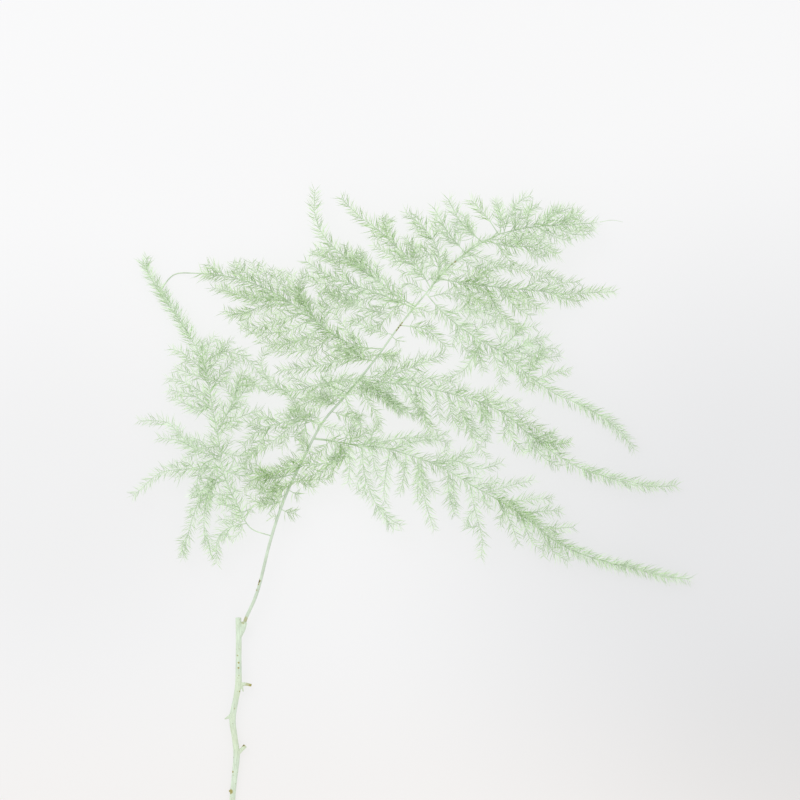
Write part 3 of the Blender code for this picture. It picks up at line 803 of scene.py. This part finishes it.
def smooth_curve(points, spacing, held_back=0.0):
    """Evenly spaced points on a smooth curve through the given ones, ending a little before the last."""
    steps = 8
    ends = [points[0] * 2 - points[1], *points, points[-1] * 2 - points[-2]]
    fine = []
    for before, start, end, after in zip(ends, ends[1:], ends[2:], ends[3:]):
        for step in range(steps):
            t = step / steps
            linear = (end - before) * t
            square = (before * 2 - start * 5 + end * 4 - after) * t ** 2
            cube = (start * 3 - before - end * 3 + after) * t ** 3
            fine.append(start + (linear + square + cube) / 2)
    fine.append(points[-1])
    run = distances(fine)
    reach = run[-1] - held_back
    count = max(2, round(reach / spacing))
    even = []
    index = 0
    for number in range(count + 1):
        distance = reach * number / count
        while index < len(run) - 2 and run[index + 1] < distance:
            index += 1
        share = (distance - run[index]) / (run[index + 1] - run[index])
        even.append(fine[index].lerp(fine[index + 1], min(share, 1.0)))
    return even


def nearest(paths, point):
    """The point of the paths that passes closest in plan."""
    best = None
    for path in paths:
        for start, end in zip(path, path[1:]):
            run = (end - start).to_2d()
            share = (point - start.to_2d()).dot(run) / run.length_squared
            place = start.lerp(end, min(max(share, 0.0), 1.0))
            distance = (place.to_2d() - point).length
            if best is None or distance < best[0]:
                best = (distance, place)
    return best[1]


def raised(plan, root_height, tip_height):
    """Give a route in plan its heights, with a slight bow upwards."""
    last = len(plan) - 1
    path = []
    for number, (x, y) in enumerate(plan):
        t = number / last
        height = root_height + (tip_height - root_height) * t + UPWARD_BOW * math.sin(math.pi * t)
        path.append(Vector((x, y, max(height, LOWEST_BRANCHLET))))
    return path


def set_down(path):
    """Lay the last stretch of a path level on the table."""
    laid = 0.0
    path[-1].z = REST_LEVEL
    for index in range(len(path) - 2, -1, -1):
        laid += (path[index + 1] - path[index]).to_2d().length
        path[index].z = REST_LEVEL
        if laid >= REST_LENGTH:
            break


def climb_over(path):
    """Let a branchlet climb from its root and stay above the midrib."""
    root_height = path[0].z
    for number, point in enumerate(path):
        climbed = min(1.0, number / (len(path) - 1) / CLIMB)
        point.z = root_height + (CROSSING_HEIGHT - root_height) * climbed


def midrib_path():
    """The midrib, which starts inside the end of the collar."""
    before, end = vectors(COLLAR_ROUTE[-2:])
    start = end - (end - before).normalized()
    return smooth_curve([start] + vectors(RACHIS_ROUTE), MIDRIB_STEP)


def branchlet_path(points, family, chance):
    """A branchlet's path, from whatever of its family passes closest to its root."""
    root = nearest(family, Vector(points[0]))
    height = root.z + chance.uniform(-HEIGHT_SPREAD, HEIGHT_SPREAD)
    height = min(max(height, TIP_HEIGHTS[0]), TIP_HEIGHTS[1])
    plan = smooth_curve([root.to_2d()] + vectors(points[1:]), BRANCHLET_SEGMENT / FINER, TIP_NEEDLE_REACH)
    return raised(plan, root.z, height)


def grow_shoots():
    """The midrib, and every axis and branchlet of the sprays, as finely sampled paths."""
    chance = random.Random(SEED)
    midrib = midrib_path()
    shoots = [Shoot("rachis", MIDRIB, midrib, MIDRIB.bare)]
    for name, spray in SPRAYS.items():
        root = nearest([midrib], Vector(spray.axis[0]))
        plan = smooth_curve([root.to_2d()] + vectors(spray.axis[1:]), SPRAY_SEGMENT, TIP_NEEDLE_REACH)
        axis = raised(plan, root.z, spray.tip_height)
        if name in RESTING:
            set_down(axis)
        axis = smooth_curve(axis, SPRAY_SEGMENT / FINER)
        kind = HOOKED_AXIS if name == "top left" else AXIS
        shoots.append(Shoot(name, kind, axis, max(kind.bare, spray.bare * distances(axis)[-1])))
        # The solids draw a turn for the needles of each shoot, so it is drawn here to keep the same heights
        chance.uniform(0.0, math.tau)
        family = [axis, midrib]
        for points in spray.branchlets:
            path = branchlet_path(points, family, chance)
            chance.uniform(0.0, math.tau)
            shoots.append(Shoot(name, BRANCHLET, path, BRANCHLET.bare))
            family.append(path)
    shoots += grow_fine_branchlets([shoot.path for shoot in shoots])
    thread = smooth_curve(vectors(THREAD_ROUTE), THREAD_STEP)
    shoots.append(Shoot("top right", THREAD, thread, THREAD.bare))
    return shoots


def grow_fine_branchlets(family):
    """The branchlets that the solids leave out, each from whatever passes closest to its root."""
    chance = random.Random(SEED + 2)
    made = []
    for name, branchlets in FINE_BRANCHLETS.items():
        for points in branchlets:
            path = branchlet_path(points, family, chance)
            if name == "crossing":
                climb_over(path)
            made.append(Shoot(name, FINE_BRANCHLET, path, FINE_BRANCHLET.bare))
    return made


class Room:
    """How many shoots already pass near a place, in plan."""

    def __init__(self, shoots):
        self.counts = {}
        for shoot in shoots:
            self.fill(shoot.path)

    def key(self, point):
        return math.floor(point.x / ROOM_CELL), math.floor(point.y / ROOM_CELL)

    def fill(self, path):
        for point in smooth_curve(path, ROOM_CELL / 3):
            self.counts[self.key(point)] = self.counts.get(self.key(point), 0) + 1

    def crowding(self, point):
        column, row = self.key(point)
        near = 0
        for across in (-1, 0, 1):
            for up in (-1, 0, 1):
                near += self.counts.get((column + across, row + up), 0)
        return near / 9


def twig_points(root, along, side, reach, chance):
    """The root, middle and tip of a twig that opens away from its shoot and then turns along it."""
    across = Vector((-along.y, along.x, 0.0)).normalized() * side
    angle = math.radians(chance.uniform(*TWIG_OPENING))
    out = along * math.cos(angle) + across * math.sin(angle)
    angle = math.radians(chance.uniform(*TWIG_CLOSING))
    ahead = along * math.cos(angle) + across * math.sin(angle)
    lift = Vector((0.0, 0.0, chance.uniform(-TWIG_LIFT, TWIG_LIFT) * reach))
    middle = root + out * reach * 0.5 + lift * 0.6
    tip = middle + ahead * reach * 0.5 + lift * 0.4
    return root, middle, tip


def grow_twigs(shoots):
    """Short side twigs, left and right in turn, that get shorter towards the tip of what they grow from."""
    chance = random.Random(SEED + 1)
    twigs = []
    spacing = sizes().twig_spacing / MM
    room = Room(shoots)
    for spray, kind, shoot_path, bare in shoots:
        look = SPRAY_LOOKS[spray]
        longest = look.twig_length * kind.twig_share
        twig_end = look.twig_end if kind.twig_end is None else kind.twig_end
        total = distances(shoot_path)[-1]
        due = max(bare, FIRST_TWIG)
        side = 1.0
        run = 0.0
        for start, end in zip(shoot_path, shoot_path[1:]):
            step = (end - start).length
            while due < run + step:
                left = twig_end - due / total
                reach = longest * min(1.0, left * TWIG_SHORTENING) * chance.uniform(*TWIG_LENGTHS)
                if reach > SHORTEST_TWIG and total - due > TWIGLESS_TIP:
                    root = start.lerp(end, (due - run) / step)
                    points = twig_points(root, (end - start).normalized(), side, reach, chance)
                    if room.crowding(points[1]) + room.crowding(points[2]) <= look.closeness:
                        path = smooth_curve(points, reach / 5)
                        for point in path:
                            point.z = max(point.z, REST_LEVEL)
                        room.fill(path)
                        twigs.append(Shoot(spray, TWIG, path, TWIG.bare))
                side = -side
                due += spacing * chance.uniform(*TWIG_GAPS)
            run += step
    return twigs


def linked(name, data):
    """A new object in the scene."""
    made = bpy.data.objects.new(name, data)
    bpy.context.scene.collection.objects.link(made)
    return made


def add_values(mesh, name, values):
    layer = mesh.attributes.new(name, "FLOAT", "POINT")
    layer.data.foreach_set("value", np.array(values, np.float32))


def places_of(mesh):
    """The mesh's points as an array of three columns."""
    places = np.empty(len(mesh.vertices) * 3, np.float32)
    mesh.vertices.foreach_get("co", places)
    return places.reshape(-1, 3)


def closed_mesh(name, points, faces):
    """A mesh of closed shells whose faces point outwards."""
    mesh = bpy.data.meshes.new(name)
    mesh.from_pydata(points, [], faces)
    shape = bmesh.new()
    shape.from_mesh(mesh)
    bmesh.ops.recalc_face_normals(shape, faces=shape.faces)
    shape.to_mesh(mesh)
    shape.free()
    return mesh


def guide(name, shoots):
    """Edges along the shoots, with the direction, distance, thickness and colour that follow them."""
    points, edges, ahead = [], [], []
    values = {"run": [], "thickness": [], "olive": [], "reach": []}
    for shoot in shoots:
        kind = shoot.kind
        run = distances(shoot.path)
        total = run[-1]
        edges += [(len(points) + index, len(points) + index + 1) for index in range(len(run) - 1)]
        for index, (place, distance) in enumerate(zip(shoot.path, run)):
            t = distance / total
            points.append((place - MIDDLE) * MM)
            ahead.extend(direction(shoot.path, index))
            leafy = min(distance - shoot.bare, kind.leafy_end * total - distance + TIP_MARGIN)
            values["run"].append(leafy * MM)
            values["thickness"].append((kind.root_radius + (kind.tip_radius - kind.root_radius) * t) * MM)
            values["olive"].append(SPRAY_LOOKS[shoot.spray].olive)
            past = max(0.0, t - SHORTENING_START) / (1.0 - SHORTENING_START)
            values["reach"].append(kind.needle_scale * (1.0 - SHORTENING * past))
    mesh = bpy.data.meshes.new(name)
    mesh.from_pydata(points, edges, [])
    for key, numbers in values.items():
        add_values(mesh, key, numbers)
    layer = mesh.attributes.new("ahead", "FLOAT_VECTOR", "POINT")
    layer.data.foreach_set("vector", np.array(ahead, np.float32))
    return linked(name, mesh)


class NodeTree:
    """A node tree that is written one node at a time."""

    def __init__(self, tree):
        self.tree = tree

    def node(self, kind, links=None, values=None, **settings):
        made = self.tree.nodes.new(kind)
        for key, value in settings.items():
            setattr(made, key, value)
        for key, value in (values or {}).items():
            made.inputs[key].default_value = value
        for key, output in (links or {}).items():
            self.tree.links.new(output, made.inputs[key])
        return made.outputs

    def math(self, operation, first, second):
        return self.node("ShaderNodeMath", {0: first, 1: second}, operation=operation)["Value"]


class GrowingTree(NodeTree):
    """A geometry node tree that grows real geometry, in one material, along a guide."""

    def __init__(self, name, inputs):
        super().__init__(bpy.data.node_groups.new(name, "GeometryNodeTree"))
        self.tree.is_modifier = True
        sockets = self.tree.interface
        sockets.new_socket("Geometry", in_out="INPUT", socket_type="NodeSocketGeometry")
        self.ids = {}
        for label, kind in inputs.items():
            self.ids[label] = sockets.new_socket(label, in_out="INPUT", socket_type=kind).identifier
        sockets.new_socket("Geometry", in_out="OUTPUT", socket_type="NodeSocketGeometry")
        self.given = self.node("NodeGroupInput")
        self.curve = self.node("GeometryNodeMeshToCurve", {"Mesh": self.given["Geometry"]})["Curve"]

    def named(self, name, kind="FLOAT"):
        """What the guide says at each of its points."""
        made = self.node("GeometryNodeInputNamedAttribute", values={"Name": name}, data_type=kind)
        return made["Attribute"]

    def finish(self, geometry):
        real = self.node("GeometryNodeRealizeInstances", {"Geometry": geometry})["Geometry"]
        painted = self.node("GeometryNodeSetMaterial", {"Geometry": real, "Material": self.given["Material"]})
        self.node("NodeGroupOutput", {"Geometry": painted["Geometry"]})

    def apply(self, piece, inputs):
        """Run the tree on a piece, keep the result as its plain mesh and drop the modifier."""
        modifier = piece.modifiers.new("grow", "NODES")
        modifier.node_group = self.tree
        for label, value in inputs.items():
            modifier[self.ids[label]] = value
        keep_result(piece)


def keep_result(piece):
    """Keep what the modifiers make as the piece's plain mesh."""
    mesh = bpy.data.meshes.new_from_object(piece.evaluated_get(bpy.context.evaluated_depsgraph_get()))
    piece.modifiers.clear()
    before = piece.data
    piece.data = mesh
    bpy.data.meshes.remove(before)


def tuft_tree():
    made = GrowingTree("Needle tufts", {
        "Spacing": "NodeSocketFloat",
        "Tufts": "NodeSocketCollection",
        "Smallest": "NodeSocketFloat",
        "Largest": "NodeSocketFloat",
        "Seed": "NodeSocketInt",
        "Material": "NodeSocketMaterial",
    })
    seed = made.given["Seed"]
    even = made.node(
        "GeometryNodeResampleCurve", {"Curve": made.curve, "Length": made.given["Spacing"]}, mode="LENGTH",
    )["Curve"]
    leafy = made.node(
        "FunctionNodeCompare", {0: made.named("run")}, {1: 0.0}, data_type="FLOAT", operation="GREATER_THAN",
    )["Result"]
    aimed = made.node(
        "FunctionNodeAlignRotationToVector", {"Vector": made.named("ahead", "FLOAT_VECTOR")}, axis="Z",
    )["Rotation"]
    level = made.node(
        "FunctionNodeAlignRotationToVector", {"Rotation": aimed}, {"Vector": (0.0, 0.0, 1.0)},
        axis="Y", pivot_axis="Z",
    )["Rotation"]
    spin = made.node(
        "FunctionNodeRandomValue", {"Seed": seed},
        {"Min": (0.0, 0.0, -TUFT_SPIN), "Max": (0.0, 0.0, TUFT_SPIN)}, data_type="FLOAT_VECTOR",
    )["Value"]
    turned = made.node(
        "FunctionNodeRotateRotation", {"Rotation": level, "Rotate By": spin}, rotation_space="LOCAL",
    )["Rotation"]
    size = made.node(
        "FunctionNodeRandomValue", {2: made.given["Smallest"], 3: made.given["Largest"], "Seed": seed},
        data_type="FLOAT",
    )[1]
    tufts = made.node(
        "GeometryNodeCollectionInfo", {"Collection": made.given["Tufts"]},
        {"Separate Children": True, "Reset Children": True},
    )["Instances"]
    placed = made.node(
        "GeometryNodeInstanceOnPoints",
        {
            "Points": even,
            "Selection": leafy,
            "Instance": tufts,
            "Rotation": turned,
            "Scale": made.math("MULTIPLY", size, made.named("reach")),
        },
        {"Pick Instance": True},
    )["Instances"]
    tone = made.node("FunctionNodeRandomValue", {"Seed": seed}, data_type="FLOAT")[1]
    toned = made.node(
        "GeometryNodeStoreNamedAttribute", {"Geometry": placed, "Value": tone}, {"Name": "tone"},
        data_type="FLOAT", domain="INSTANCE",
    )["Geometry"]
    made.finish(toned)
    return made


def stalk_tree():
    made = GrowingTree("Stalks", {"Sides": "NodeSocketInt", "Material": "NodeSocketMaterial"})
    ring = made.node("GeometryNodeCurvePrimitiveCircle", {"Resolution": made.given["Sides"]}, {"Radius": 1.0})
    stalks = made.node(
        "GeometryNodeCurveToMesh",
        {"Curve": made.curve, "Profile Curve": ring["Curve"], "Scale": made.named("thickness")},
        {"Fill Caps": True},
    )["Mesh"]
    made.finish(stalks)
    return made


def tuft_mesh(number):
    """One tuft: a few needles that fan out round the branchlet, each bent a little forwards."""
    chance = random.Random(SEED * 100 + number)
    radius = sizes().needle_radius
    up = Vector((0.0, 0.0, 1.0))
    points, faces, tones = [], [], []
    for index in range(sizes().needles_in_tuft):
        around = math.radians(chance.uniform(-TUFT_FAN, TUFT_FAN)) + math.pi * ((index + number) % 2)
        lean = math.radians(chance.uniform(*TUFT_LEAN))
        reach = sizes().needle_length * chance.uniform(*NEEDLE_LENGTHS)
        out = Vector((math.cos(around), math.sin(around), 0.0))
        first = out * math.sin(lean) + up * math.cos(lean)
        second = out * math.sin(lean * NEEDLE_BEND) + up * math.cos(lean * NEEDLE_BEND)
        joint = first * reach * 0.5
        beside = Vector((-out.y, out.x, 0.0))
        across = first.cross(beside).normalized()
        base = len(points)
        for centre, size in ((Vector((0.0, 0.0, 0.0)), radius * 0.8), (joint, radius)):
            for corner in range(3):
                angle = math.tau * corner / 3
                points.append(centre + (across * math.cos(angle) + beside * math.sin(angle)) * size)
        points.append(joint + second * reach * 0.5)
        tones += [chance.random()] * (len(points) - base)
        faces.append((base + 2, base + 1, base))
        for corner in range(3):
            following = (corner + 1) % 3
            faces.append((base + corner, base + following, base + 3 + following, base + 3 + corner))
            faces.append((base + 3 + corner, base + 3 + following, base + 6))
    mesh = closed_mesh(f"tuft_{number}", points, faces)
    add_values(mesh, "needle_tone", tones)
    return mesh


def tuft_collection():
    made = bpy.data.collections.new("tufts")
    for number in range(TUFT_FORMS):
        made.objects.link(bpy.data.objects.new(f"tuft_{number}", tuft_mesh(number)))
    return made


def remove_collection(made):
    for tuft in list(made.objects):
        bpy.data.objects.remove(tuft)
    bpy.data.collections.remove(made)


def keep_in_box(mesh):
    """Low needles bend and lie on the table instead of going through it, and high ones stay in the box."""
    places = places_of(mesh)
    height = places[:, 2].astype(float)
    soft, least, top = 1.0 * MM, 0.05 * MM, CAD_BOX[1].z
    low = height < soft
    height[low] = least + (soft - least) * np.exp((height[low] - soft) / (soft - least))
    high = height > top - soft
    height[high] = top - soft * np.exp(-(height[high] - top + soft) / soft)
    places[:, 2] = height
    mesh.vertices.foreach_set("co", places.ravel())
    mesh.update()


class Paint(NodeTree):
    """A material's node tree."""

    def __init__(self, name):
        self.material = bpy.data.materials.new(name)
        self.material.use_nodes = True
        super().__init__(self.material.node_tree)
        self.surface = self.tree.nodes["Principled BSDF"].inputs
        self.place = self.node("ShaderNodeTexCoord")["Object"]

    def attribute(self, name):
        return self.node("ShaderNodeAttribute", attribute_name=name)["Fac"]

    def noise(self, scale, detail=3.0, place=None):
        links = {"Vector": place or self.place}
        return self.node("ShaderNodeTexNoise", links, {"Scale": scale, "Detail": detail})["Fac"]

    def mix(self, share, first, second, **settings):
        """Blend two colours, each a node's output or a plain colour."""
        links, values = {}, {}
        for key, value in (("Factor", share), (6, first), (7, second)):
            if isinstance(value, bpy.types.NodeSocket):
                links[key] = value
            else:
                values[key] = value
        return self.node("ShaderNodeMix", links, values, data_type="RGBA", **settings)[2]

    def ramp(self, value, low, high, to_low=0.0, to_high=1.0, **settings):
        values = {"From Min": low, "From Max": high, "To Min": to_low, "To Max": to_high}
        return self.node("ShaderNodeMapRange", {"Value": value}, values, **settings)["Result"]

    def eased(self, value, low, high, to_low=0.0, to_high=1.0):
        return self.ramp(value, low, high, to_low, to_high, interpolation_type="SMOOTHSTEP")

    def marked(self, tint):
        """Lay the brown marks over a paint: ochre, and dark at the heart of the strongest."""
        brown = self.attribute("brown")
        ochre = self.mix(self.ramp(brown, 0.08, 0.6), tint, shade(MARK_RIM))
        return self.mix(self.ramp(brown, 0.7, 1.0), ochre, shade(colours().mark))

    def finish(self, colour, roughness):
        self.tree.links.new(colour, self.surface["Base Color"])
        self.surface["Roughness"].default_value = roughness
        self.surface["Specular IOR Level"].default_value = 0.3
        return self.material


def shade(colour, factor=1.0):
    return (colour[0] * factor, colour[1] * factor, colour[2] * factor, 1.0)


def needle_paint():
    """Mint to olive in patches, lighter or darker tuft by tuft, with a few dark and a few pale needles."""
    made = Paint("mint_needle_paint")
    spray_olive = made.attribute("olive")
    patches = made.ramp(made.noise(45.0), 0.35, 0.65, -0.25, 0.25)
    olive = made.math("ADD", spray_olive, patches)
    tint = made.mix(olive, shade(colours().mint), shade(colours().olive))
    light = made.mix(made.attribute("tone"), shade(WHITE, 0.72), shade(WHITE, 1.1))
    colour = made.mix(1.0, tint, light, blend_type="MULTIPLY")
    needle_tone = made.attribute("needle_tone")
    dark_needles = made.ramp(needle_tone, 0.7, 0.9)
    depth = made.ramp(spray_olive, 0.2, 0.6, 0.45, 0.68)
    darkest_sprays = made.ramp(spray_olive, 1.0, 2.0, 0.0, 0.5)
    deep = made.math("MAXIMUM", darkest_sprays, made.math("MULTIPLY", dark_needles, depth))
    darkened = made.mix(deep, colour, shade(DARK_NEEDLE))
    pale = made.ramp(needle_tone, 0.3, 0.05, 0.0, 0.5)
    return made.finish(made.mix(pale, darkened, shade(PALE_NEEDLE)), 0.6)


def stalk_paint():
    """Streaked, green on the thin stalks and pale on the thick midrib."""
    made = Paint("green_stalk_paint")
    streaks = made.ramp(made.noise(180.0), 0.3, 0.7)
    green = made.mix(streaks, shade(colours().mint, 0.62), shade(colours().mint, 0.9))
    pale = made.mix(streaks, shade(colours().stem, 0.8), shade(colours().stem))
    paleness = made.ramp(made.attribute("thickness"), 0.0003, 0.0006)
    return made.finish(made.marked(made.mix(paleness, green, pale)), 0.5)


def old_stem_paint():
    """Pale bark with fine streaks along it, yellowish patches, dark flecks and brown marks."""
    made = Paint("old_stem_paint")
    stretched = made.node("ShaderNodeMapping", {"Vector": made.place}, {"Scale": (1.0, 0.12, 1.0)})["Vector"]
    streaks = made.noise(1600.0, place=stretched)
    base = made.mix(made.ramp(streaks, 0.3, 0.7), shade(colours().stem, 0.82), shade(colours().stem, 1.08))
    patches = made.ramp(made.noise(60.0), 0.45, 0.7, 0.0, 0.3)
    yellowed = made.mix(patches, base, shade(YELLOWED_BARK))
    flecks = made.ramp(made.noise(900.0, 1.0), 0.66, 0.74, 0.0, 0.55)
    flecked = made.mix(flecks, yellowed, shade(BARK_FLECK))
    bump = made.node("ShaderNodeBump", {"Height": streaks}, {"Strength": 0.25, "Distance": 0.0002})["Normal"]
    made.tree.links.new(bump, made.surface["Normal"])
    return made.finish(made.marked(flecked), 0.45)


def floor_paint():
    """A dark grey ground that glows pale in place of being lit, so the frond's shadows hardly show on it.
    Painted shade dims the glow, most towards the right and the bottom, and painted light tints it cool
    towards the right and warm at the bottom.
    """
    made = Paint("floor_paint")
    # The floor's own colour is dark grey; its pale look is a painted glow, which hides most of the frond's
    # cast shadow
    made.surface["Base Color"].default_value = shade(colours().floor)
    made.surface["Roughness"].default_value = 0.9
    up_the_frond = made.node("ShaderNodeSeparateXYZ", {"Vector": made.place})["Y"]
    # Painted shade: the glow dims towards the bottom and near each place listed for the ground's shade
    light = made.eased(up_the_frond, 0.12, -0.13, 1.0, 0.955)
    gaps = []
    for place, near, far, share_near, share_far in PAINTED_GROUND_SHADES:
        gap = made.node("ShaderNodeVectorMath", {0: made.place}, {1: place}, operation="DISTANCE")["Value"]
        light = made.math("MULTIPLY", light, made.eased(gap, near, far, share_near, share_far))
        gaps.append(gap)
    made.tree.links.new(light, made.surface["Emission Strength"])
    # Painted light: the glow is tinted cool towards the right and warm at the bottom
    cool = made.mix(made.eased(gaps[0], 0.06, 0.24), shade(COOL_LIGHT), shade(WHITE))
    warm = made.mix(made.eased(up_the_frond, -0.05, -0.15), cool, shade(WARM_LIGHT))
    made.tree.links.new(warm, made.surface["Emission Color"])
    return made.material


def paint_marks(mesh, marks):
    """How brown each point is, from its distance to the marks, with ragged edges."""
    places = places_of(mesh).astype(float) / MM + np.array(MIDDLE)
    wave = np.sin(places[:, 0] * 9.0 + places[:, 2] * 7.0) * np.sin(places[:, 1] * 8.0)
    brown = np.zeros(len(places))
    for x, y, radius, strength in marks:
        distance = np.hypot(places[:, 0] - x, places[:, 1] - y) / radius + MARK_RAGGEDNESS * wave
        brown = np.maximum(brown, strength * np.clip((1.0 - distance) / MARK_FADE + 0.5, 0.0, 1.0))
    add_values(mesh, "brown", brown)


def tube(name, route, radii, step, sides):
    """A smooth tube along a route, with its radii eased along it."""
    path = smooth_curve(vectors(route), step)
    total = distances(path)[-1]
    marks = distances(vectors(route))
    marks = [mark / marks[-1] * total for mark in marks]
    points, faces = [], [tuple(reversed(range(sides)))]
    for index, radius in enumerate(np.interp(np.linspace(0.0, total, len(path)), marks, radii)):
        tangent = direction(path, index)
        side = Vector((tangent.y, -tangent.x, 0.0)).normalized()
        up = side.cross(tangent).normalized()
        for corner in range(sides):
            angle = math.tau * (corner + 0.5) / sides - math.pi / 2
            out = (side * math.cos(angle) + up * math.sin(angle)) * radius
            points.append((path[index] + out - MIDDLE) * MM)
    for low in range(0, (len(path) - 1) * sides, sides):
        high = low + sides
        for corner in range(sides):
            following = (corner + 1) % sides
            faces.append((low + corner, low + following, high + following, high + corner))
    faces.append(tuple((len(path) - 1) * sides + corner for corner in range(sides)))
    return closed_mesh(name, points, faces)


def old_stem_parts():
    radii = [STEM_RADIUS + NODE_SWELLING * (number in STEM_NODES) for number in range(len(STEM_ROUTE))]
    parts = [tube("stem", STEM_ROUTE, radii, STEM_STEP, STEM_RING)]
    for name, points in STEM_GROWTHS.items():
        foot = min(vectors(STEM_ROUTE), key=lambda point: abs(point.y - points[0][1]))
        route = [(x, y, foot.z + rise) for x, y, rise, _ in points]
        parts.append(tube(name, route, [point[3] for point in points], GROWTH_STEP, GROWTH_RING))
    parts.append(tube("collar", COLLAR_ROUTE, COLLAR_RADII, GROWTH_STEP, GROWTH_RING))
    return parts


def join(name, meshes):
    shape = bmesh.new()
    for mesh in meshes:
        shape.from_mesh(mesh)
        bpy.data.meshes.remove(mesh)
    joined = bpy.data.meshes.new(name)
    shape.to_mesh(joined)
    shape.free()
    return linked(name, joined)


def own(piece, node):
    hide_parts(node)
    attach(piece, "root")


class FERN_OT_old_stem(bpy.types.Operator):
    """Grow the old stem with its thorn, spurs, bud and cut ends"""

    bl_idname = "fern.old_stem"
    bl_label = "Old stem"

    def execute(self, context):
        piece = join("old_stem", old_stem_parts())
        melt = piece.modifiers.new("melt", "REMESH")
        melt.mode = "VOXEL"
        melt.voxel_size = sizes().voxel
        soften = piece.modifiers.new("soften", "SMOOTH")
        soften.factor = 0.5
        soften.iterations = 3
        keep_result(piece)
        for vertex in piece.data.vertices:
            vertex.co.z = max(vertex.co.z, 0.0)
        piece.data.shade_smooth()
        paint_marks(piece.data, STEM_MARKS)
        piece.data.materials.clear()
        piece.data.materials.append(old_stem_paint())
        own(piece, "main_stem")
        return {"FINISHED"}


class FERN_OT_stalks(bpy.types.Operator):
    """Grow the midrib, the spray axes, the branchlets and their twigs"""

    bl_idname = "fern.stalks"
    bl_label = "Stalks"

    def execute(self, context):
        shoots = grow_shoots()
        tree = stalk_tree()
        paint = stalk_paint()
        groups = {"midrib": shoots[:1], "branchlets": shoots[1:], "twigs": grow_twigs(shoots)}
        for name, group in groups.items():
            piece = guide(name, group)
            tree.apply(piece, {"Sides": STALK_SIDES[name], "Material": paint})
            keep_in_box(piece.data)
            piece.data.shade_smooth()
            paint_marks(piece.data, RACHIS_MARKS)
            own(piece, "leafy_frond")
        return {"FINISHED"}


class FERN_OT_needles(bpy.types.Operator):
    """Grow the needles in tufts on every branchlet and twig"""

    bl_idname = "fern.needles"
    bl_label = "Needles"

    def execute(self, context):
        shoots = grow_shoots()
        shoots += grow_twigs(shoots)
        tree = tuft_tree()
        tufts = tuft_collection()
        paint = needle_paint()
        for number, (name, sprays) in enumerate(NEEDLE_PIECES.items()):
            piece = guide(name, [shoot for shoot in shoots if shoot.spray in sprays])
            tree.apply(piece, {
                "Spacing": sizes().tuft_spacing,
                "Tufts": tufts,
                "Smallest": TUFT_SCALES[0],
                "Largest": TUFT_SCALES[1],
                "Seed": SEED + number,
                "Material": paint,
            })
            keep_in_box(piece.data)
            own(piece, "leafy_frond")
        remove_collection(tufts)
        return {"FINISHED"}


class FERN_OT_stage(bpy.types.Operator):
    """Set the pale floor, the soft lights and the camera that looks straight down"""

    bl_idname = "fern.stage"
    bl_label = "Stage"

    def execute(self, context):
        make_floor()
        make_lights()
        make_camera()
        return {"FINISHED"}


def make_floor():
    mesh = bpy.data.meshes.new("floor")
    corners = [(x * FLOOR_HALF, y * FLOOR_HALF, 0) for x, y in ((-1, -1), (1, -1), (1, 1), (-1, 1))]
    mesh.from_pydata(corners, [], [(0, 1, 2, 3)])
    mesh.materials.append(floor_paint())
    linked("floor", mesh)


def area_light(name, place, target, size, power, colour):
    data = bpy.data.lights.new(name, "AREA")
    data.shape = "DISK"
    data.size = size
    data.energy = power
    data.color = colour
    made = linked(name, data)
    made.location = place
    made.rotation_euler = (Vector(target) - Vector(place)).to_track_quat("-Z", "Y").to_euler()


def make_lights():
    world = bpy.context.scene.world or bpy.data.worlds.new("studio")
    bpy.context.scene.world = world
    world.use_nodes = True
    sky = world.node_tree.nodes["Background"]
    sky.inputs["Color"].default_value = shade(WHITE)
    sky.inputs["Strength"].default_value = 0.95
    area_light("window", (-0.55, 0.6, 0.85), target=(0.0, 0.05, 0.0), size=0.8, power=2.8, colour=WHITE)
    area_light("lamp", (0.06, -0.42, 0.3), target=(0.05, -0.2, 0.0), size=0.2, power=0.12, colour=WARM_LAMP)


def make_camera():
    data = bpy.data.cameras.new("camera")
    data.lens = 200.0
    data.sensor_width = 36.0
    distance = PHOTO_WIDTH * MM * data.lens / data.sensor_width
    middle = (PHOTO_MIDDLE - MIDDLE) * MM
    camera = linked("camera", data)
    camera.location = (middle.x, middle.y, distance + FROND_HEIGHT)
    bpy.context.scene.camera = camera
    bpy.context.scene.view_settings.view_transform = "Standard"


class FERN_PT_panel(bpy.types.Panel):
    """Everything that grows the spray"""

    bl_idname = "FERN_PT_panel"
    bl_label = "Asparagus fern"
    bl_space_type = "VIEW_3D"
    bl_region_type = "UI"
    bl_category = "Fern"

    def draw(self, context):
        for operator in (FERN_OT_old_stem, FERN_OT_stalks, FERN_OT_needles, FERN_OT_stage):
            self.layout.operator(operator.bl_idname)
        for group in (context.scene.fern_sizes, context.scene.fern_colours):
            for name in group.bl_rna.properties.keys():
                if name not in ("rna_type", "name"):
                    self.layout.prop(group, name)


CLASSES = (
    FernSizes, FernColours, FERN_OT_old_stem, FERN_OT_stalks, FERN_OT_needles, FERN_OT_stage, FERN_PT_panel,
)


def register():
    for made in CLASSES:
        bpy.utils.register_class(made)
    bpy.types.Scene.fern_sizes = bpy.props.PointerProperty(type=FernSizes)
    bpy.types.Scene.fern_colours = bpy.props.PointerProperty(type=FernColours)


def unregister():
    del bpy.types.Scene.fern_colours
    del bpy.types.Scene.fern_sizes
    for made in reversed(CLASSES):
        bpy.utils.unregister_class(made)


def main():
    register()
    bpy.ops.fern.old_stem()
    bpy.ops.fern.stalks()
    bpy.ops.fern.needles()
    bpy.ops.fern.stage()


if __name__ == "__main__":
    main()
